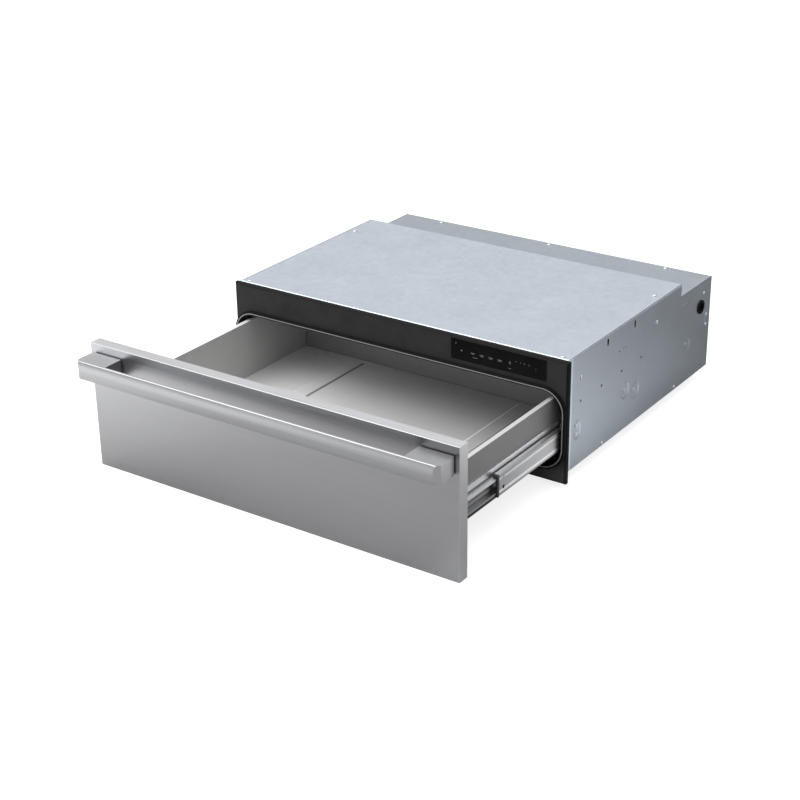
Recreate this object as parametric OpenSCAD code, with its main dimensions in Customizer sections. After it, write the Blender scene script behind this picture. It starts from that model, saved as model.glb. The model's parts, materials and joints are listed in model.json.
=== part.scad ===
// Built in warming drawer: a steel case for a kitchen cabinet, a heated cavity, and a drawer on ball slides.
// The origin is the middle of the case's underside. The front faces -Y and the drawer is drawn part way out.

/* [Case] */
// Width of the case
case_w = 708; // [600:1:900]
// Depth of the case behind the front frame
case_d = 561; // [500:1:700]
// Height of the case
case_h = 210.5; // [200:0.5:280]
// Thickness of the case's sheet
sheet_t = 1; // [0.8:0.1:1.2]
// Depth of the low strip along the rear of the top
strip_d = 133.5; // [100:0.5:160]
// Drop from the main top to the low strip
step_h = 25.5; // [12:0.5:26]
// Width of the folds that join the case's sheets
fold_w = 24; // [20:1:28]
// Depth of the wiring bay behind the heated cavity
bay_d = 62; // [56:1:80]

/* [Front frame] */
// How far the frame reaches past each side of the case
frame_over = 5; // [2:0.5:12]
// How far the frame hangs below the case
frame_drop = 17.5; // [6:0.5:30]
// Thickness of the frame
frame_t = 10; // [6:0.5:16]
// Bevel round the frame's front edge
frame_bevel = 3.5; // [1:0.5:5]
// Height of the control band above the mouth
band_h = 58; // [50:0.5:80]
// From the case's side to the mouth's edge
mouth_side = 4; // [3:0.5:4.5]
// Height of the mouth's lower edge
mouth_low = 14; // [11:0.5:20]
// Corner radius of the mouth
mouth_r = 37; // [20:1:38]
// Width of the gasket round the mouth
gasket_w = 8.5; // [6:0.5:9]
// How far the gasket stands proud of the frame
gasket_proud = 7; // [4:0.5:10]

/* [Controls] */
// Width of the touch glass
glass_w = 191; // [120:1:240]
// Height of the touch glass
glass_h = 38; // [26:1:42]
// Thickness of the touch glass
glass_t = 3; // [2:0.5:4]
// From the case's side to the touch glass
glass_in = 36.5; // [20:0.5:60]
// From the case's top to the touch glass
glass_top = 4.5; // [4:0.5:6]

/* [Drawer front] */
// How far the front reaches past each side of the case
panel_over = 24; // [5:1:40]
// How far the front hangs below the case
panel_drop = 23.5; // [18:0.5:40]
// How far the front rises above the case
panel_rise = 1; // [0:0.5:5]
// Thickness of the front
panel_t = 23; // [18:0.5:30]
// Thickness of the front's stainless skin
skin_t = 1.2; // [0.8:0.1:1.5]

/* [Handle] */
// From each end of the front to the handle's end
handle_inset = 8; // [2:1:60]
// Height of the handle
handle_h = 33.5; // [24:0.5:44]
// How far the handle stands out from the front
handle_out = 50; // [40:1:60]
// Width of each end of the handle
handle_end_w = 64; // [40:1:80]
// Thickness of the bar between the ends
handle_bar_t = 8; // [7:0.5:14]
// Bulge of the handle's front face
handle_bulge = 3.5; // [1:0.5:5]
// Radius of the handle's outer corners
handle_r = 14; // [8:1:18]
// From the front's top edge to the handle's top
handle_top = 15; // [8:1:60]
// Thickness of the pads under the handle's ends
pad_t = 3; // [1.5:0.5:5]

/* [Drawer pan] */
// Height of the pan's floor above the mouth's lower edge
floor_rise = 16; // [14:0.5:20]
// From the pan's rim up to the mouth's upper edge
rim_gap = 12.5; // [8:0.5:14]
// Thickness of the pan's sheet
pan_t = 1; // [0.8:0.1:1.5]
// Width of the rail box on each side of the pan
rail_w = 12; // [10:0.5:20]
// Width of the pan's rolled rim
rim_w = 8; // [6:0.5:9]
// Width of each raised rib in the pan's floor
rib_w = 36; // [20:1:60]
// Height of each raised rib
rib_h = 1.5; // [1:0.1:2.5]
// Distance between the two ribs' middles
rib_pitch = 380; // [200:1:460]
// From a rib's end to the pan's wall
rib_end = 13; // [8:1:60]

/* [Slides] */
// Gap that the drawer stands open in this pose
rest_gap = 343; // [200:1:420]
// Space for one slide, from the rail to the case
slide_w = 15.5; // [15:0.1:17]
// Height of the slide's outer member
slide_h = 49; // [44:1:56]
// Thickness of the slide's steel
slide_t = 1.4; // [1.2:0.1:1.6]
// Radius of the slide's balls
ball_r = 1.7; // [1.5:0.1:1.9]
// Number of balls in a row
ball_count = 6; // [3:1:8]
// Distance between neighbouring balls
ball_pitch = 33; // [24:1:34]
// Share of the drawer's travel that the middle member makes
middle_share = 0.59; // [0.5:0.01:0.62]

/* [Heater] */
// Radius of the heating tube
tube_r = 3.25; // [2.5:0.25:4]
// Distance between neighbouring legs of the heating tube
leg_pitch = 100; // [60:1:120]
// Thickness of the insulation under the cavity
base_wool_t = 7; // [5:0.5:8]
// Thickness of the insulation over the cavity
top_wool_t = 24; // [15:1:24]

/* [Hidden] */

// Overrun of every cut
cut = 2;
// Running clearance between pieces that slide
run = 0.3;
// Clearance of a screw or pin in its hole
hole_gap = 0.1;
$fn = 48;

// Case places
half_w = case_w / 2;
in_w = half_w - sheet_t;
case_front = -case_d / 2;
case_rear = case_d / 2;
face = case_front - frame_t;
riser_y = case_rear - strip_d;
strip_z = case_h - step_h;
wall_y = case_rear - bay_d - sheet_t;

// Front frame places
frame_w = case_w + 2 * frame_over;
frame_h = case_h + frame_drop;
mouth_w = case_w - 2 * mouth_side;
mouth_top = case_h - band_h;
mouth_h = mouth_top - mouth_low;
glass_z = case_h - glass_top - glass_h;
glass_x = half_w - glass_in - glass_w / 2;
glass_gap = 0.2;
window_edge = 7;
carrier_t = 9;
carrier_rim = 2;
board_t = 1.6;
board_gap = 4;

// Cavity places
floor_z = sheet_t + base_wool_t;
ceiling_z = mouth_top;
wool_z = ceiling_z + sheet_t;
wool_inset = 22;
rear_wool_t = 12;
rear_wool_inset = 60;
rear_wool_low = 20;

// Pan and rail places
closed_gap = gasket_proud + 2 * run;
shut_travel = rest_gap - closed_gap;
panel_back = face - rest_gap;
panel_front = panel_back - panel_t;
panel_w = case_w + 2 * panel_over;
panel_h = case_h + panel_drop + panel_rise;
boss_h = 1.5;
boss_wall = 4;
web_x = in_w - boss_h;
rail_x = web_x - slide_w;
pan_half = rail_x - rail_w;
pan_in = pan_half - pan_t;
pan_floor = mouth_low + floor_rise;
pan_rim = mouth_top - rim_gap;
pan_gap = 4;
rib_flank = 4;
pan_l = wall_y - pan_gap - (face - closed_gap);
pan_rear = panel_back + pan_l;
slide_rise = 36;
slide_z = pan_floor + slide_rise;
rail_over = 5;
rail_t = 1.2;
rail_low = slide_z - slide_h / 2 - rail_over;
rail_top = slide_z + slide_h / 2 + rail_over;

// Slide places
slide_front_gap = 3;
slide_rear_gap = 5;
slide_l = wall_y - slide_rear_gap - case_front - slide_front_gap;
outer_y = case_front + slide_front_gap;
cap_l = 5;
middle_lead = gasket_proud - cap_l;
middle_y = face - middle_lead - middle_share * shut_travel;
inner_y = panel_back;
row_gap = 2 * ball_r + hole_gap;
middle_h = slide_h - 2 * (slide_t + row_gap);
inner_h = middle_h - 2 * (slide_t + row_gap);
outer_row = (slide_h + middle_h) / 4 - slide_t / 2;
inner_row = (middle_h + inner_h) / 4 - slide_t / 2;
lip_gap = 0.8;
slide_bend = 2.2;
web_inner = 8.5;
web_outer = 11.5;
web_dip = 0.5;
lip_h = row_gap - lip_gap;
cage_t = 0.7;
outer_cage_side = 0.7;
inner_cage_side = 0.35;
outer_in = 4;
middle_in = 2.6;
middle_out = slide_w - slide_t - cage_t - 2 * outer_cage_side;
inner_out = middle_out - slide_t - cage_t - 2 * inner_cage_side;
outer_ball = (outer_in + slide_w) / 2;
inner_ball = (middle_in + slide_t + inner_out) / 2;
cage_arm = 2.3;
cage_end = 12.5;
cage_l = (ball_count - 1) * ball_pitch + 2 * cage_end;
outer_cage_mid = (outer_y + middle_y + slide_l) / 2;
inner_cage_mid = (middle_y + inner_y + slide_l) / 2;

// Screws and rivets
head_r = 4;
head_h = 2.2;
shank_r = 1.9;
shank_l = 7;
screw_in = 17;
top_screw_front = 9;
top_screw_rear = 80;
strip_screw_x = 260;
strip_screw_in = 10;
rear_screw_in = 12;
rear_screw_shares = [0.18, 0.5, 0.82];
side_screw_y_shares = [0.082, 0.588, 0.943];
side_screw_drop = [46.5, 42.5, 50.5];
low_screw_y_shares = [0.232, 0.745];
low_screw_z = 5;
base_fold = 12;
ceiling_fold = 20;
wall_fold = 40;

// Features of the side panels
boss_y_shares = [0.063, 0.378, 0.449, 0.825];
boss_z_shares = [0.058, 0.209, -0.081, 0.209];
boss_r_shares = [0.3, 0.35, 0.35, 0.325];
boss_long = 8;
rivet_r = 2.5;
rivet_head_r = 4.2;
rivet_head_h = 1.1;
rivet_pitch = 16;
fix_first = 46;
fix_pitch = 75;
fix_count = 4;
fix_r = 2.5;
fix_drop = 65;
fix_z = strip_z - fix_drop;
vent_y_shares = [0.248, 0.429];
vent_w = 5.5;
vent_h = 14;
vent_drop = 15.5;
pip_y_shares = [0.349, 0.795];
pip_drop = 48;
pip_w = 5;
pip_l = 20;
pip_h = 0.8;
pip_hole_r = 2.5;
pip_hole_pitch = 26;
entry_r = 11;
entry_in = 44;
entry_drop = 16.5;
entry_z = ceiling_z - entry_drop;
entry_flange = 2.3;
entry_flange_r = 13.5;
entry_bore_r = 8;
plate_in = 19;
plate_drop = 83;
plate_z = strip_z - plate_drop;
plate_w = 10;
plate_h = 30;
plate_t = 1.5;
plate_screw_in = 5;

// Heater places
tube_lift = 8;
tube_z = floor_z + sheet_t + tube_lift;
bend_r = leg_pitch / 2;
leg_in = 40;
leg_short = 20;
leg_front = case_front + bend_r + leg_in;
leg_rear = wall_y - bend_r - leg_short;
tube_out = 22;
pin_r = 1.5;
pin_l = 8;
clip_w = 12;
clip_t = 4;
clip_top = 2;
probe_r = 2.2;
probe_l = 60;
probe_out = 14;
probe_drop = rim_gap / 2;
probe_x = 120;
collar_r = probe_drop - run;
collar_t = 2;
cutout_x = -120;
cutout_r = 8;
cutout_h = 8;
cutout_tab_w = 6;
cutout_tab_h = 7;
wool_gap = 6;

// Wiring bay places
bumper_r = 6;
bumper_l = 3.5;
bumper_x = 200;
bumper_drop = 50;
bumper_z = pan_rim - bumper_drop;
pillar_l = 10;
pillar_r = 3;
board_in = 244;
board_x = half_w - board_in;
board_w = 160;
board_h = 95;
board_drop = 30;
board_low = strip_z - board_drop - board_h;
board_y = case_rear - sheet_t - pillar_l - board_t;
pillar_in = 8;
part_h = 14;
block_in = 68;
block_x = half_w - block_in;
block_w = 36;
block_h = 28;
block_d = 24;
block_z = board_low;
block_pole = 9;
loom_in = 104;
loom_x = half_w - loom_in;
loom_r = 2.5;
loom_bend = 12;
loom_z = wool_z + top_wool_t + loom_r + run;
loom_drop_y = wall_y + sheet_t + rear_wool_t + loom_r + run;
tie_r = 3;
tie_l = 4;
plug_rise = 60;
plug_z = board_low + plug_rise;
plug_w = 16;
plug_h = 5;
plug_d = 6;
carrier_x = glass_x - glass_w / 2 + window_edge;
carrier_w = glass_w - 2 * window_edge;
carrier_low = glass_z + window_edge;
carrier_h = glass_h - 2 * window_edge;
carrier_rear = case_front + carrier_t;
carrier_lip = 5;
board_rim = run + carrier_rim + run;
socket_y = carrier_rear - board_gap;
socket_z = carrier_low + carrier_h / 2;
tie_y = case_front + wool_inset + wool_inset;

// Handle and front places
handle_half = panel_w / 2 - handle_inset;
handle_front = panel_front - handle_out;
handle_back = panel_front - pad_t;
handle_high = panel_h - panel_drop - handle_top;
handle_mid = handle_high - handle_h / 2;
handle_arc = (handle_h * handle_h / 4 + handle_bulge * handle_bulge) / (2 * handle_bulge);
handle_end_x = handle_half - handle_end_w / 2;
pad_in = 2;
bolt_r = 2.5;
bolt_head_r = 4.5;
bolt_head_h = 4;
bolt_pitch = 30;
bolt_in = 12;
pan_screw_x_shares = [-0.375, -0.125, 0.125, 0.375];
pan_screw_rise = 50;
pan_screw_in = 8;
rail_screw_in = 30;
rail_screw_h = 1.8;
rail_screw_l = 4;
rail_short = 5;
slot_in = 14;
slot_rise = 11;
slot_w = 2.4;
slot_l = 6;
mark_drop = 7;
mark_r = 3.2;

module box(low, high) {
    translate(low) cube(high - low);
}

// A rod along X, Y or Z from one place to another
module rod_x(x0, x1, y, z, r) {
    translate([x0, y, z]) rotate([0, 90, 0]) cylinder(r = r, h = x1 - x0);
}

module rod_y(x, y0, y1, z, r) {
    translate([x, y0, z]) rotate([-90, 0, 0]) cylinder(r = r, h = y1 - y0);
}

module rod_z(x, y, z0, z1, r) {
    translate([x, y, z0]) cylinder(r = r, h = z1 - z0);
}

// A plate that stands across Y with round corners
module round_plate(w, low, high, y0, y1, r) {
    box([-w / 2 + r, y0, low], [w / 2 - r, y1, high]);
    box([-w / 2, y0, low + r], [w / 2, y1, high - r]);
    for (sx = [-1, 1])
        for (z = [low + r, high - r])
            rod_y(sx * (w / 2 - r), y0, y1, z, r);
}

// A pill along Z or Y that stands across X
module pill_z(x0, x1, y, z, r, l) {
    for (sz = [-1, 1])
        rod_x(x0, x1, y, z + sz * l / 2, r);
    box([x0, y - r, z - l / 2], [x1, y + r, z + l / 2]);
}

module pill_y(x0, x1, y, z, r, l) {
    for (sy = [-1, 1])
        rod_x(x0, x1, y + sy * l / 2, z, r);
    box([x0, y - l / 2, z - r], [x1, y + l / 2, z + r]);
}

// Places that screws, rivets and their holes share
module at_top_screws() {
    for (sx = [-1, 1])
        for (y = [case_front + top_screw_front, riser_y - top_screw_rear])
            translate([sx * (half_w - screw_in), y, case_h]) children();
}

module at_strip_screws() {
    for (i = [-1, 0, 1])
        translate([i * strip_screw_x, case_rear - strip_screw_in, strip_z]) children();
}

module at_rear_screws() {
    for (sx = [-1, 1])
        for (share = rear_screw_shares)
            translate([sx * (half_w - rear_screw_in), case_rear, share * strip_z])
                rotate([-90, 0, 0]) children();
}

module at_side_screws() {
    for (i = [0 : len(side_screw_y_shares) - 1])
        translate([half_w, case_front + side_screw_y_shares[i] * case_d, case_h - side_screw_drop[i]])
            rotate([0, 90, 0]) children();
    for (share = low_screw_y_shares)
        translate([half_w, case_front + share * case_d, low_screw_z]) rotate([0, 90, 0]) children();
}

module at_plate_screws() {
    for (dz = [-plate_h / 2 + plate_screw_in, plate_h / 2 - plate_screw_in])
        translate([half_w + plate_t, case_rear - plate_in, plate_z + dz]) rotate([0, 90, 0]) children();
}

module at_rivets() {
    for (i = [0 : len(boss_y_shares) - 1])
        for (dz = i == 0 ? [-rivet_pitch / 2, rivet_pitch / 2] : [0])
            translate([web_x, boss_y(i), boss_z(i) + dz]) children();
}

function boss_y(i) = case_front + boss_y_shares[i] * case_d;
function boss_z(i) = slide_z + boss_z_shares[i] * slide_h;
function boss_r(i) = boss_r_shares[i] * slide_h;

// The dished bosses that seat the slide, the first of them an oval
module bosses(x0, x1) {
    grow = (x1 - x0) * boss_wall / boss_h;
    for (sz = [-1, 1])
        boss_cone(x0, x1, 0, sz * boss_long / 2, grow);
    translate([x0, boss_y(0), boss_z(0) - boss_long / 2]) linear_extrude(height = boss_long)
        boss_cut(x1 - x0, boss_r(0) - boss_wall, grow);
    for (i = [1 : len(boss_y_shares) - 1])
        boss_cone(x0, x1, i, 0, grow);
}

module boss_cone(x0, x1, i, dz, grow) {
    translate([x0, boss_y(i), boss_z(i) + dz]) rotate([0, 90, 0])
        cylinder(r1 = boss_r(i) - boss_wall, r2 = boss_r(i) - boss_wall + grow, h = x1 - x0);
}

module boss_cut(h, r, grow) {
    polygon([[0, -r], [h, -r - grow], [h, r + grow], [0, r]]);
}

// A screw along Z whose head sits on the origin, and its hole
module screw() {
    cylinder(r = head_r, h = head_h);
    translate([0, 0, -shank_l]) cylinder(r = shank_r, h = shank_l);
}

module screw_hole() {
    translate([0, 0, -shank_l - cut]) cylinder(r = shank_r + hole_gap, h = shank_l + 2 * cut);
}

module top_cover() {
    color("#c3cbd5") difference() {
        union() {
            box([-half_w, case_front, case_h - sheet_t], [half_w, riser_y, case_h]);
            box([-in_w, riser_y - sheet_t, strip_z - sheet_t], [in_w, riser_y, case_h]);
            box([-half_w, riser_y, strip_z - sheet_t], [half_w, case_rear, strip_z]);
        }
        at_top_screws() screw_hole();
        at_strip_screws() screw_hole();
    }
}

// The right side's sheet with its folds, bosses, vents and fixing holes
module side_sheet() {
    difference() {
        union() {
            box([in_w, case_front, 0], [half_w, riser_y, case_h - sheet_t]);
            box([in_w, case_front, 0], [half_w, case_rear, strip_z - sheet_t]);
            box([half_w - fold_w, case_front, case_h - 2 * sheet_t],
                [half_w, riser_y - sheet_t, case_h - sheet_t]);
            box([half_w - fold_w, riser_y, strip_z - 2 * sheet_t],
                [half_w, case_rear - sheet_t, strip_z - sheet_t]);
            box([half_w - fold_w, case_rear - 2 * sheet_t, sheet_t],
                [half_w, case_rear - sheet_t, strip_z - sheet_t]);
            bosses(web_x, in_w + sheet_t / 2);
            at_pips() pill_y(half_w - sheet_t / 2, half_w + pip_h, 0, 0, pip_w / 2, pip_l - pip_w);
        }
        bosses(web_x + sheet_t, half_w + cut);
        for (i = [0 : fix_count - 1])
            rod_x(in_w - cut, half_w + cut, case_front + fix_first + i * fix_pitch, fix_z, fix_r);
        for (share = vent_y_shares)
            pill_z(in_w - cut, half_w + cut, case_front + share * case_d, case_h - vent_drop, vent_w / 2,
                vent_h - vent_w);
        at_pips()
            for (sy = [-1, 1])
                rod_x(in_w - cut, half_w + cut, sy * pip_hole_pitch / 2, 0, pip_hole_r);
        at_top_screws() screw_hole();
        at_side_screws() screw_hole();
        at_rear_screws() screw_hole();
        at_rivets() rotate([0, 90, 0]) translate([0, 0, -cut])
            cylinder(r = rivet_r + hole_gap, h = half_w - web_x + cut);
    }
}

module at_pips() {
    for (share = pip_y_shares)
        translate([0, case_front + share * case_d, case_h - pip_drop]) children();
}

module side_panel_left() {
    color("#a9b1bb") mirror([1, 0, 0]) side_sheet();
}

module side_panel_right() {
    color("#a9b1bb") difference() {
        side_sheet();
        rod_x(in_w - cut, half_w + cut, case_rear - entry_in, entry_z, entry_r);
        at_plate_screws() screw_hole();
    }
}

module base_plate() {
    color("#98a0aa") difference() {
        union() {
            box([-in_w, case_front, 0], [in_w, case_rear - sheet_t, sheet_t]);
            for (sx = [-1, 1])
                box([min(sx * in_w, sx * (in_w - sheet_t)), case_front, 0],
                    [max(sx * in_w, sx * (in_w - sheet_t)), wall_y, base_fold]);
        }
        at_side_screws() screw_hole();
        mirror([1, 0, 0]) at_side_screws() screw_hole();
    }
}

module rear_panel() {
    color("#98a0aa") difference() {
        union() {
            box([-in_w, case_rear - sheet_t, 0], [in_w, case_rear, strip_z - sheet_t]);
            box([-in_w + fold_w, case_rear - fold_w, strip_z - 2 * sheet_t],
                [in_w - fold_w, case_rear, strip_z - sheet_t]);
        }
        at_rear_screws() screw_hole();
        at_strip_screws() screw_hole();
    }
}

// The steel frame round the mouth, bevelled at the front
module front_frame() {
    color("#2f2f30") difference() {
        hull() {
            box([-frame_w / 2, face + frame_bevel, -frame_drop], [frame_w / 2, case_front, case_h]);
            box([-frame_w / 2 + frame_bevel, face, -frame_drop + frame_bevel],
                [frame_w / 2 - frame_bevel, case_front, case_h - frame_bevel]);
        }
        round_plate(mouth_w, mouth_low, mouth_top, face - cut, case_front + cut, mouth_r);
        box([glass_x - glass_w / 2 - glass_gap, face - cut, glass_z - glass_gap],
            [glass_x + glass_w / 2 + glass_gap, face + glass_t, glass_z + glass_h + glass_gap]);
        box([carrier_x, face, carrier_low], [carrier_x + carrier_w, case_front + cut, carrier_low + carrier_h]);
    }
}

module mouth_gasket() {
    color("#151515") difference() {
        round_plate(mouth_w + 2 * gasket_w, mouth_low - gasket_w, mouth_top + gasket_w, face - gasket_proud,
            face, mouth_r + gasket_w);
        round_plate(mouth_w, mouth_low, mouth_top, face - gasket_proud - cut, face + cut, mouth_r);
    }
}

module control_glass() {
    color("#101011") box([glass_x - glass_w / 2, face, glass_z],
        [glass_x + glass_w / 2, face + glass_t, glass_z + glass_h]);
}

// A tray that plugs the window behind the glass and seats on the frame's rear
module control_carrier() {
    color("#3a3b3d") difference() {
        union() {
            box([carrier_x + run, face + glass_t, carrier_low + run],
                [carrier_x + carrier_w - run, carrier_rear, carrier_low + carrier_h - run]);
            box([carrier_x - carrier_lip, case_front, carrier_low - carrier_lip],
                [carrier_x + carrier_w + carrier_lip, case_front + carrier_rim,
                    carrier_low + carrier_h + carrier_lip]);
        }
        box([carrier_x + run + carrier_rim, face + glass_t + carrier_rim, carrier_low + run + carrier_rim],
            [carrier_x + carrier_w - run - carrier_rim, carrier_rear + cut,
                carrier_low + carrier_h - run - carrier_rim]);
    }
}

module control_board() {
    part_high = carrier_h / 2 - board_rim;
    color("#2f6b46") {
        box([carrier_x + board_rim, socket_y - board_t, carrier_low + board_rim],
            [carrier_x + carrier_w - board_rim, socket_y, carrier_low + carrier_h - board_rim]);
        box([loom_x - plug_w / 2, socket_y, socket_z - plug_h / 2],
            [loom_x + plug_w / 2, socket_y + plug_d, socket_z + plug_h / 2]);
        for (i = [1 : 4])
            box([carrier_x + i * carrier_w / 8, socket_y, socket_z - part_high / 2],
                [carrier_x + (i + 0.4) * carrier_w / 8, socket_y + board_t, socket_z + part_high / 2]);
    }
}

module cavity_ceiling() {
    color("#b5b8bb") difference() {
        union() {
            box([-in_w, case_front, ceiling_z], [in_w, wall_y, wool_z]);
            for (sx = [-1, 1])
                box([min(sx * in_w, sx * (in_w - sheet_t)), case_front, ceiling_z],
                    [max(sx * in_w, sx * (in_w - sheet_t)), wall_y, ceiling_z + ceiling_fold]);
        }
        rod_z(cutout_x, 0, ceiling_z - cut, wool_z + cut, cutout_r / 2);
        at_side_screws() screw_hole();
        mirror([1, 0, 0]) at_side_screws() screw_hole();
    }
}

module cavity_rear_wall() {
    color("#b5b8bb") difference() {
        union() {
            box([-in_w, wall_y, floor_z], [in_w, wall_y + sheet_t, wool_z + top_wool_t]);
            for (sx = [-1, 1])
                box([min(sx * in_w, sx * (in_w - sheet_t)), wall_y, wool_z],
                    [max(sx * in_w, sx * (in_w - sheet_t)), wall_y + wall_fold, wool_z + top_wool_t]);
        }
        for (sx = [-1, 1])
            rod_y(sx * 3 * bend_r, wall_y - cut, wall_y + cut, tube_z, tube_r + hole_gap);
        rod_y(probe_x, wall_y - cut, wall_y + cut, ceiling_z - probe_drop, probe_r + hole_gap);
        at_side_screws() screw_hole();
        mirror([1, 0, 0]) at_side_screws() screw_hole();
    }
}

module cavity_floor() {
    color("#aeb1b4") box([-in_w + sheet_t, case_front, floor_z], [in_w - sheet_t, wall_y, floor_z + sheet_t]);
}

module base_insulation() {
    color("#d8d2c0") box([-in_w + wool_gap + shank_l, case_front + wool_gap, sheet_t],
        [in_w - wool_gap - shank_l, wall_y - wool_gap, floor_z]);
}

module top_insulation() {
    color("#d8d2c0") difference() {
        box([-in_w + wool_inset, tie_y + tie_l, wool_z],
            [in_w - wool_inset, wall_y - run, wool_z + top_wool_t]);
        rod_z(cutout_x, 0, wool_z - cut, wool_z + top_wool_t + cut, cutout_r + wool_gap);
    }
}

module rear_insulation() {
    color("#d8d2c0") difference() {
        box([-in_w + rear_wool_inset, wall_y + sheet_t, rear_wool_low],
            [in_w - rear_wool_inset, wall_y + sheet_t + rear_wool_t, ceiling_z]);
        rod_y(probe_x, wall_y - cut, wall_y + sheet_t + rear_wool_t + cut, ceiling_z - probe_drop,
            probe_r + wool_gap);
        for (sx = [-1, 1])
            rod_y(sx * 3 * bend_r, wall_y - cut, wall_y + sheet_t + rear_wool_t + cut, tube_z,
                tube_r + wool_gap);
    }
}

// A W of tube that lies under the pan, with its two ends through the rear wall
module heating_element() {
    color("#6f7173") {
        for (sx = [-1, 1]) {
            rod_y(sx * 3 * bend_r, leg_front, wall_y + tube_out, tube_z, tube_r);
            rod_y(sx * 3 * bend_r, wall_y + tube_out, wall_y + tube_out + pin_l, tube_z, pin_r);
            rod_y(sx * bend_r, leg_front, leg_rear, tube_z, tube_r);
            translate([sx * 2 * bend_r, leg_front, tube_z]) rotate([0, 0, 180]) tube_bend();
        }
        translate([0, leg_rear, tube_z]) tube_bend();
    }
}

module tube_bend() {
    rotate_extrude(angle = 180) translate([bend_r, 0]) circle(r = tube_r);
}

module element_clips() {
    color("#8d8f92") for (i = [-3, -1, 1, 3])
        difference() {
            box([i * bend_r - clip_w / 2, -clip_t / 2, floor_z + sheet_t],
                [i * bend_r + clip_w / 2, clip_t / 2, tube_z + tube_r + clip_top]);
            rod_y(i * bend_r, -clip_t, clip_t, tube_z, tube_r + hole_gap);
        }
}

module temperature_sensor() {
    color("#b9bcc0") {
        rod_y(probe_x, wall_y - probe_l, wall_y + sheet_t + probe_out, ceiling_z - probe_drop, probe_r);
        rod_y(probe_x, wall_y - collar_t, wall_y, ceiling_z - probe_drop, collar_r - hole_gap);
    }
}

module thermal_cutout() {
    color("#26282b") {
        rod_z(cutout_x, 0, wool_z, wool_z + cutout_h, cutout_r);
        for (sx = [-1, 1])
            box([cutout_x + sx * cutout_r / 2 - sheet_t / 2, -cutout_tab_w / 2, wool_z + cutout_h],
                [cutout_x + sx * cutout_r / 2 + sheet_t / 2, cutout_tab_w / 2,
                    wool_z + cutout_h + cutout_tab_h]);
    }
}

module power_board() {
    color("#2f6b46") {
        box([board_x, board_y, board_low], [board_x + board_w, board_y + board_t, board_low + board_h]);
        box([loom_x - plug_w / 2, board_y - plug_d, plug_z - plug_h / 2],
            [loom_x + plug_w / 2, board_y, plug_z + plug_h / 2]);
        for (i = [0 : 2])
            box([board_x + (i + 0.5) * board_w / 6, board_y - part_h, board_low + board_h / 6],
                [board_x + (i + 1.2) * board_w / 6, board_y, board_low + board_h / 3]);
        rod_y(board_x + board_w / 6, board_y - part_h, board_y, board_low + board_h * 2 / 3, part_h / 2);
    }
}

module board_pillars() {
    color("#c9c9c4") for (x = [board_x + pillar_in, board_x + board_w - pillar_in])
        for (z = [board_low + pillar_in, board_low + board_h - pillar_in])
            rod_y(x, board_y + board_t, case_rear - sheet_t, z, pillar_r);
}

module terminal_block() {
    color("#d9d7cf") difference() {
        box([block_x, case_rear - sheet_t - block_d, block_z],
            [block_x + block_w, case_rear - sheet_t, block_z + block_h]);
        for (i = [0 : 2])
            rod_y(block_x + block_w * (i + 0.5) / 3, case_rear - sheet_t - block_d - cut,
                case_rear - sheet_t - block_d / 2, block_z + block_h / 2, block_pole / 2);
    }
}

// The loom from the control board, over the insulation and down to the power board
module wire_loom() {
    lead_y = socket_y + plug_d;
    slope = atan2(loom_z - socket_z, tie_y - lead_y);
    color("#d0cdc4") {
        translate([loom_x, lead_y, socket_z]) rotate([slope - 90, 0, 0]) translate([0, 0, loom_r])
            cylinder(r = loom_r, h = norm([tie_y - lead_y, loom_z - socket_z]) - loom_r);
        rod_y(loom_x, lead_y, lead_y + tie_l, socket_z, tie_r);
        rod_y(loom_x, tie_y - tie_l / 2, tie_y + tie_l / 2, loom_z, tie_r);
        rod_y(loom_x, tie_y, loom_drop_y - loom_bend, loom_z, loom_r);
        translate([loom_x, loom_drop_y - loom_bend, loom_z - loom_bend]) rotate([0, 90, 0]) rotate([0, 0, 90])
            rotate_extrude(angle = 90) translate([loom_bend, 0]) circle(r = loom_r);
        rod_z(loom_x, loom_drop_y, plug_z + loom_bend, loom_z - loom_bend, loom_r);
        translate([loom_x, loom_drop_y + loom_bend, plug_z + loom_bend]) rotate([0, 90, 0]) rotate([0, 0, -90])
            rotate_extrude(angle = 90) translate([loom_bend, 0]) circle(r = loom_r);
        rod_y(loom_x, loom_drop_y + loom_bend, board_y - plug_d, plug_z, loom_r);
    }
}

module cable_grommet() {
    y = case_rear - entry_in;
    color("#161618") difference() {
        union() {
            rod_x(half_w, half_w + entry_flange, y, entry_z, entry_flange_r);
            rod_x(in_w - entry_flange, in_w, y, entry_z, entry_flange_r);
            rod_x(in_w - entry_flange, half_w + entry_flange, y, entry_z, entry_r - hole_gap);
        }
        rod_x(in_w - entry_flange - cut, half_w + entry_flange + cut, y, entry_z, entry_bore_r);
    }
}

module service_plate() {
    color("#b4bcc6") difference() {
        box([half_w, case_rear - plate_in - plate_w / 2, plate_z - plate_h / 2],
            [half_w + plate_t, case_rear - plate_in + plate_w / 2, plate_z + plate_h / 2]);
        at_plate_screws() screw_hole();
    }
}

// The right slide's member that is fixed to the case
module slide_outer_right() {
    color("#9fa3a8") difference() {
        union() {
            slide_bar(slide_w - slide_t, slide_w, -slide_h / 2, slide_h / 2, outer_y);
            for (sz = [-1, 1]) {
                slide_arm(outer_in, slide_w, slide_h / 2 - slide_t, slide_h / 2, outer_y, sz);
                slide_arm(outer_in, outer_in + slide_t, slide_h / 2 - slide_t - lip_h, slide_h / 2, outer_y,
                    sz);
            }
        }
        at_rivets() rotate([0, -90, 0]) translate([0, 0, -cut])
            cylinder(r = rivet_r + hole_gap, h = slide_t + 2 * cut);
    }
}

module slide_outer_left() {
    mirror([1, 0, 0]) slide_outer_right();
}

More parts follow.
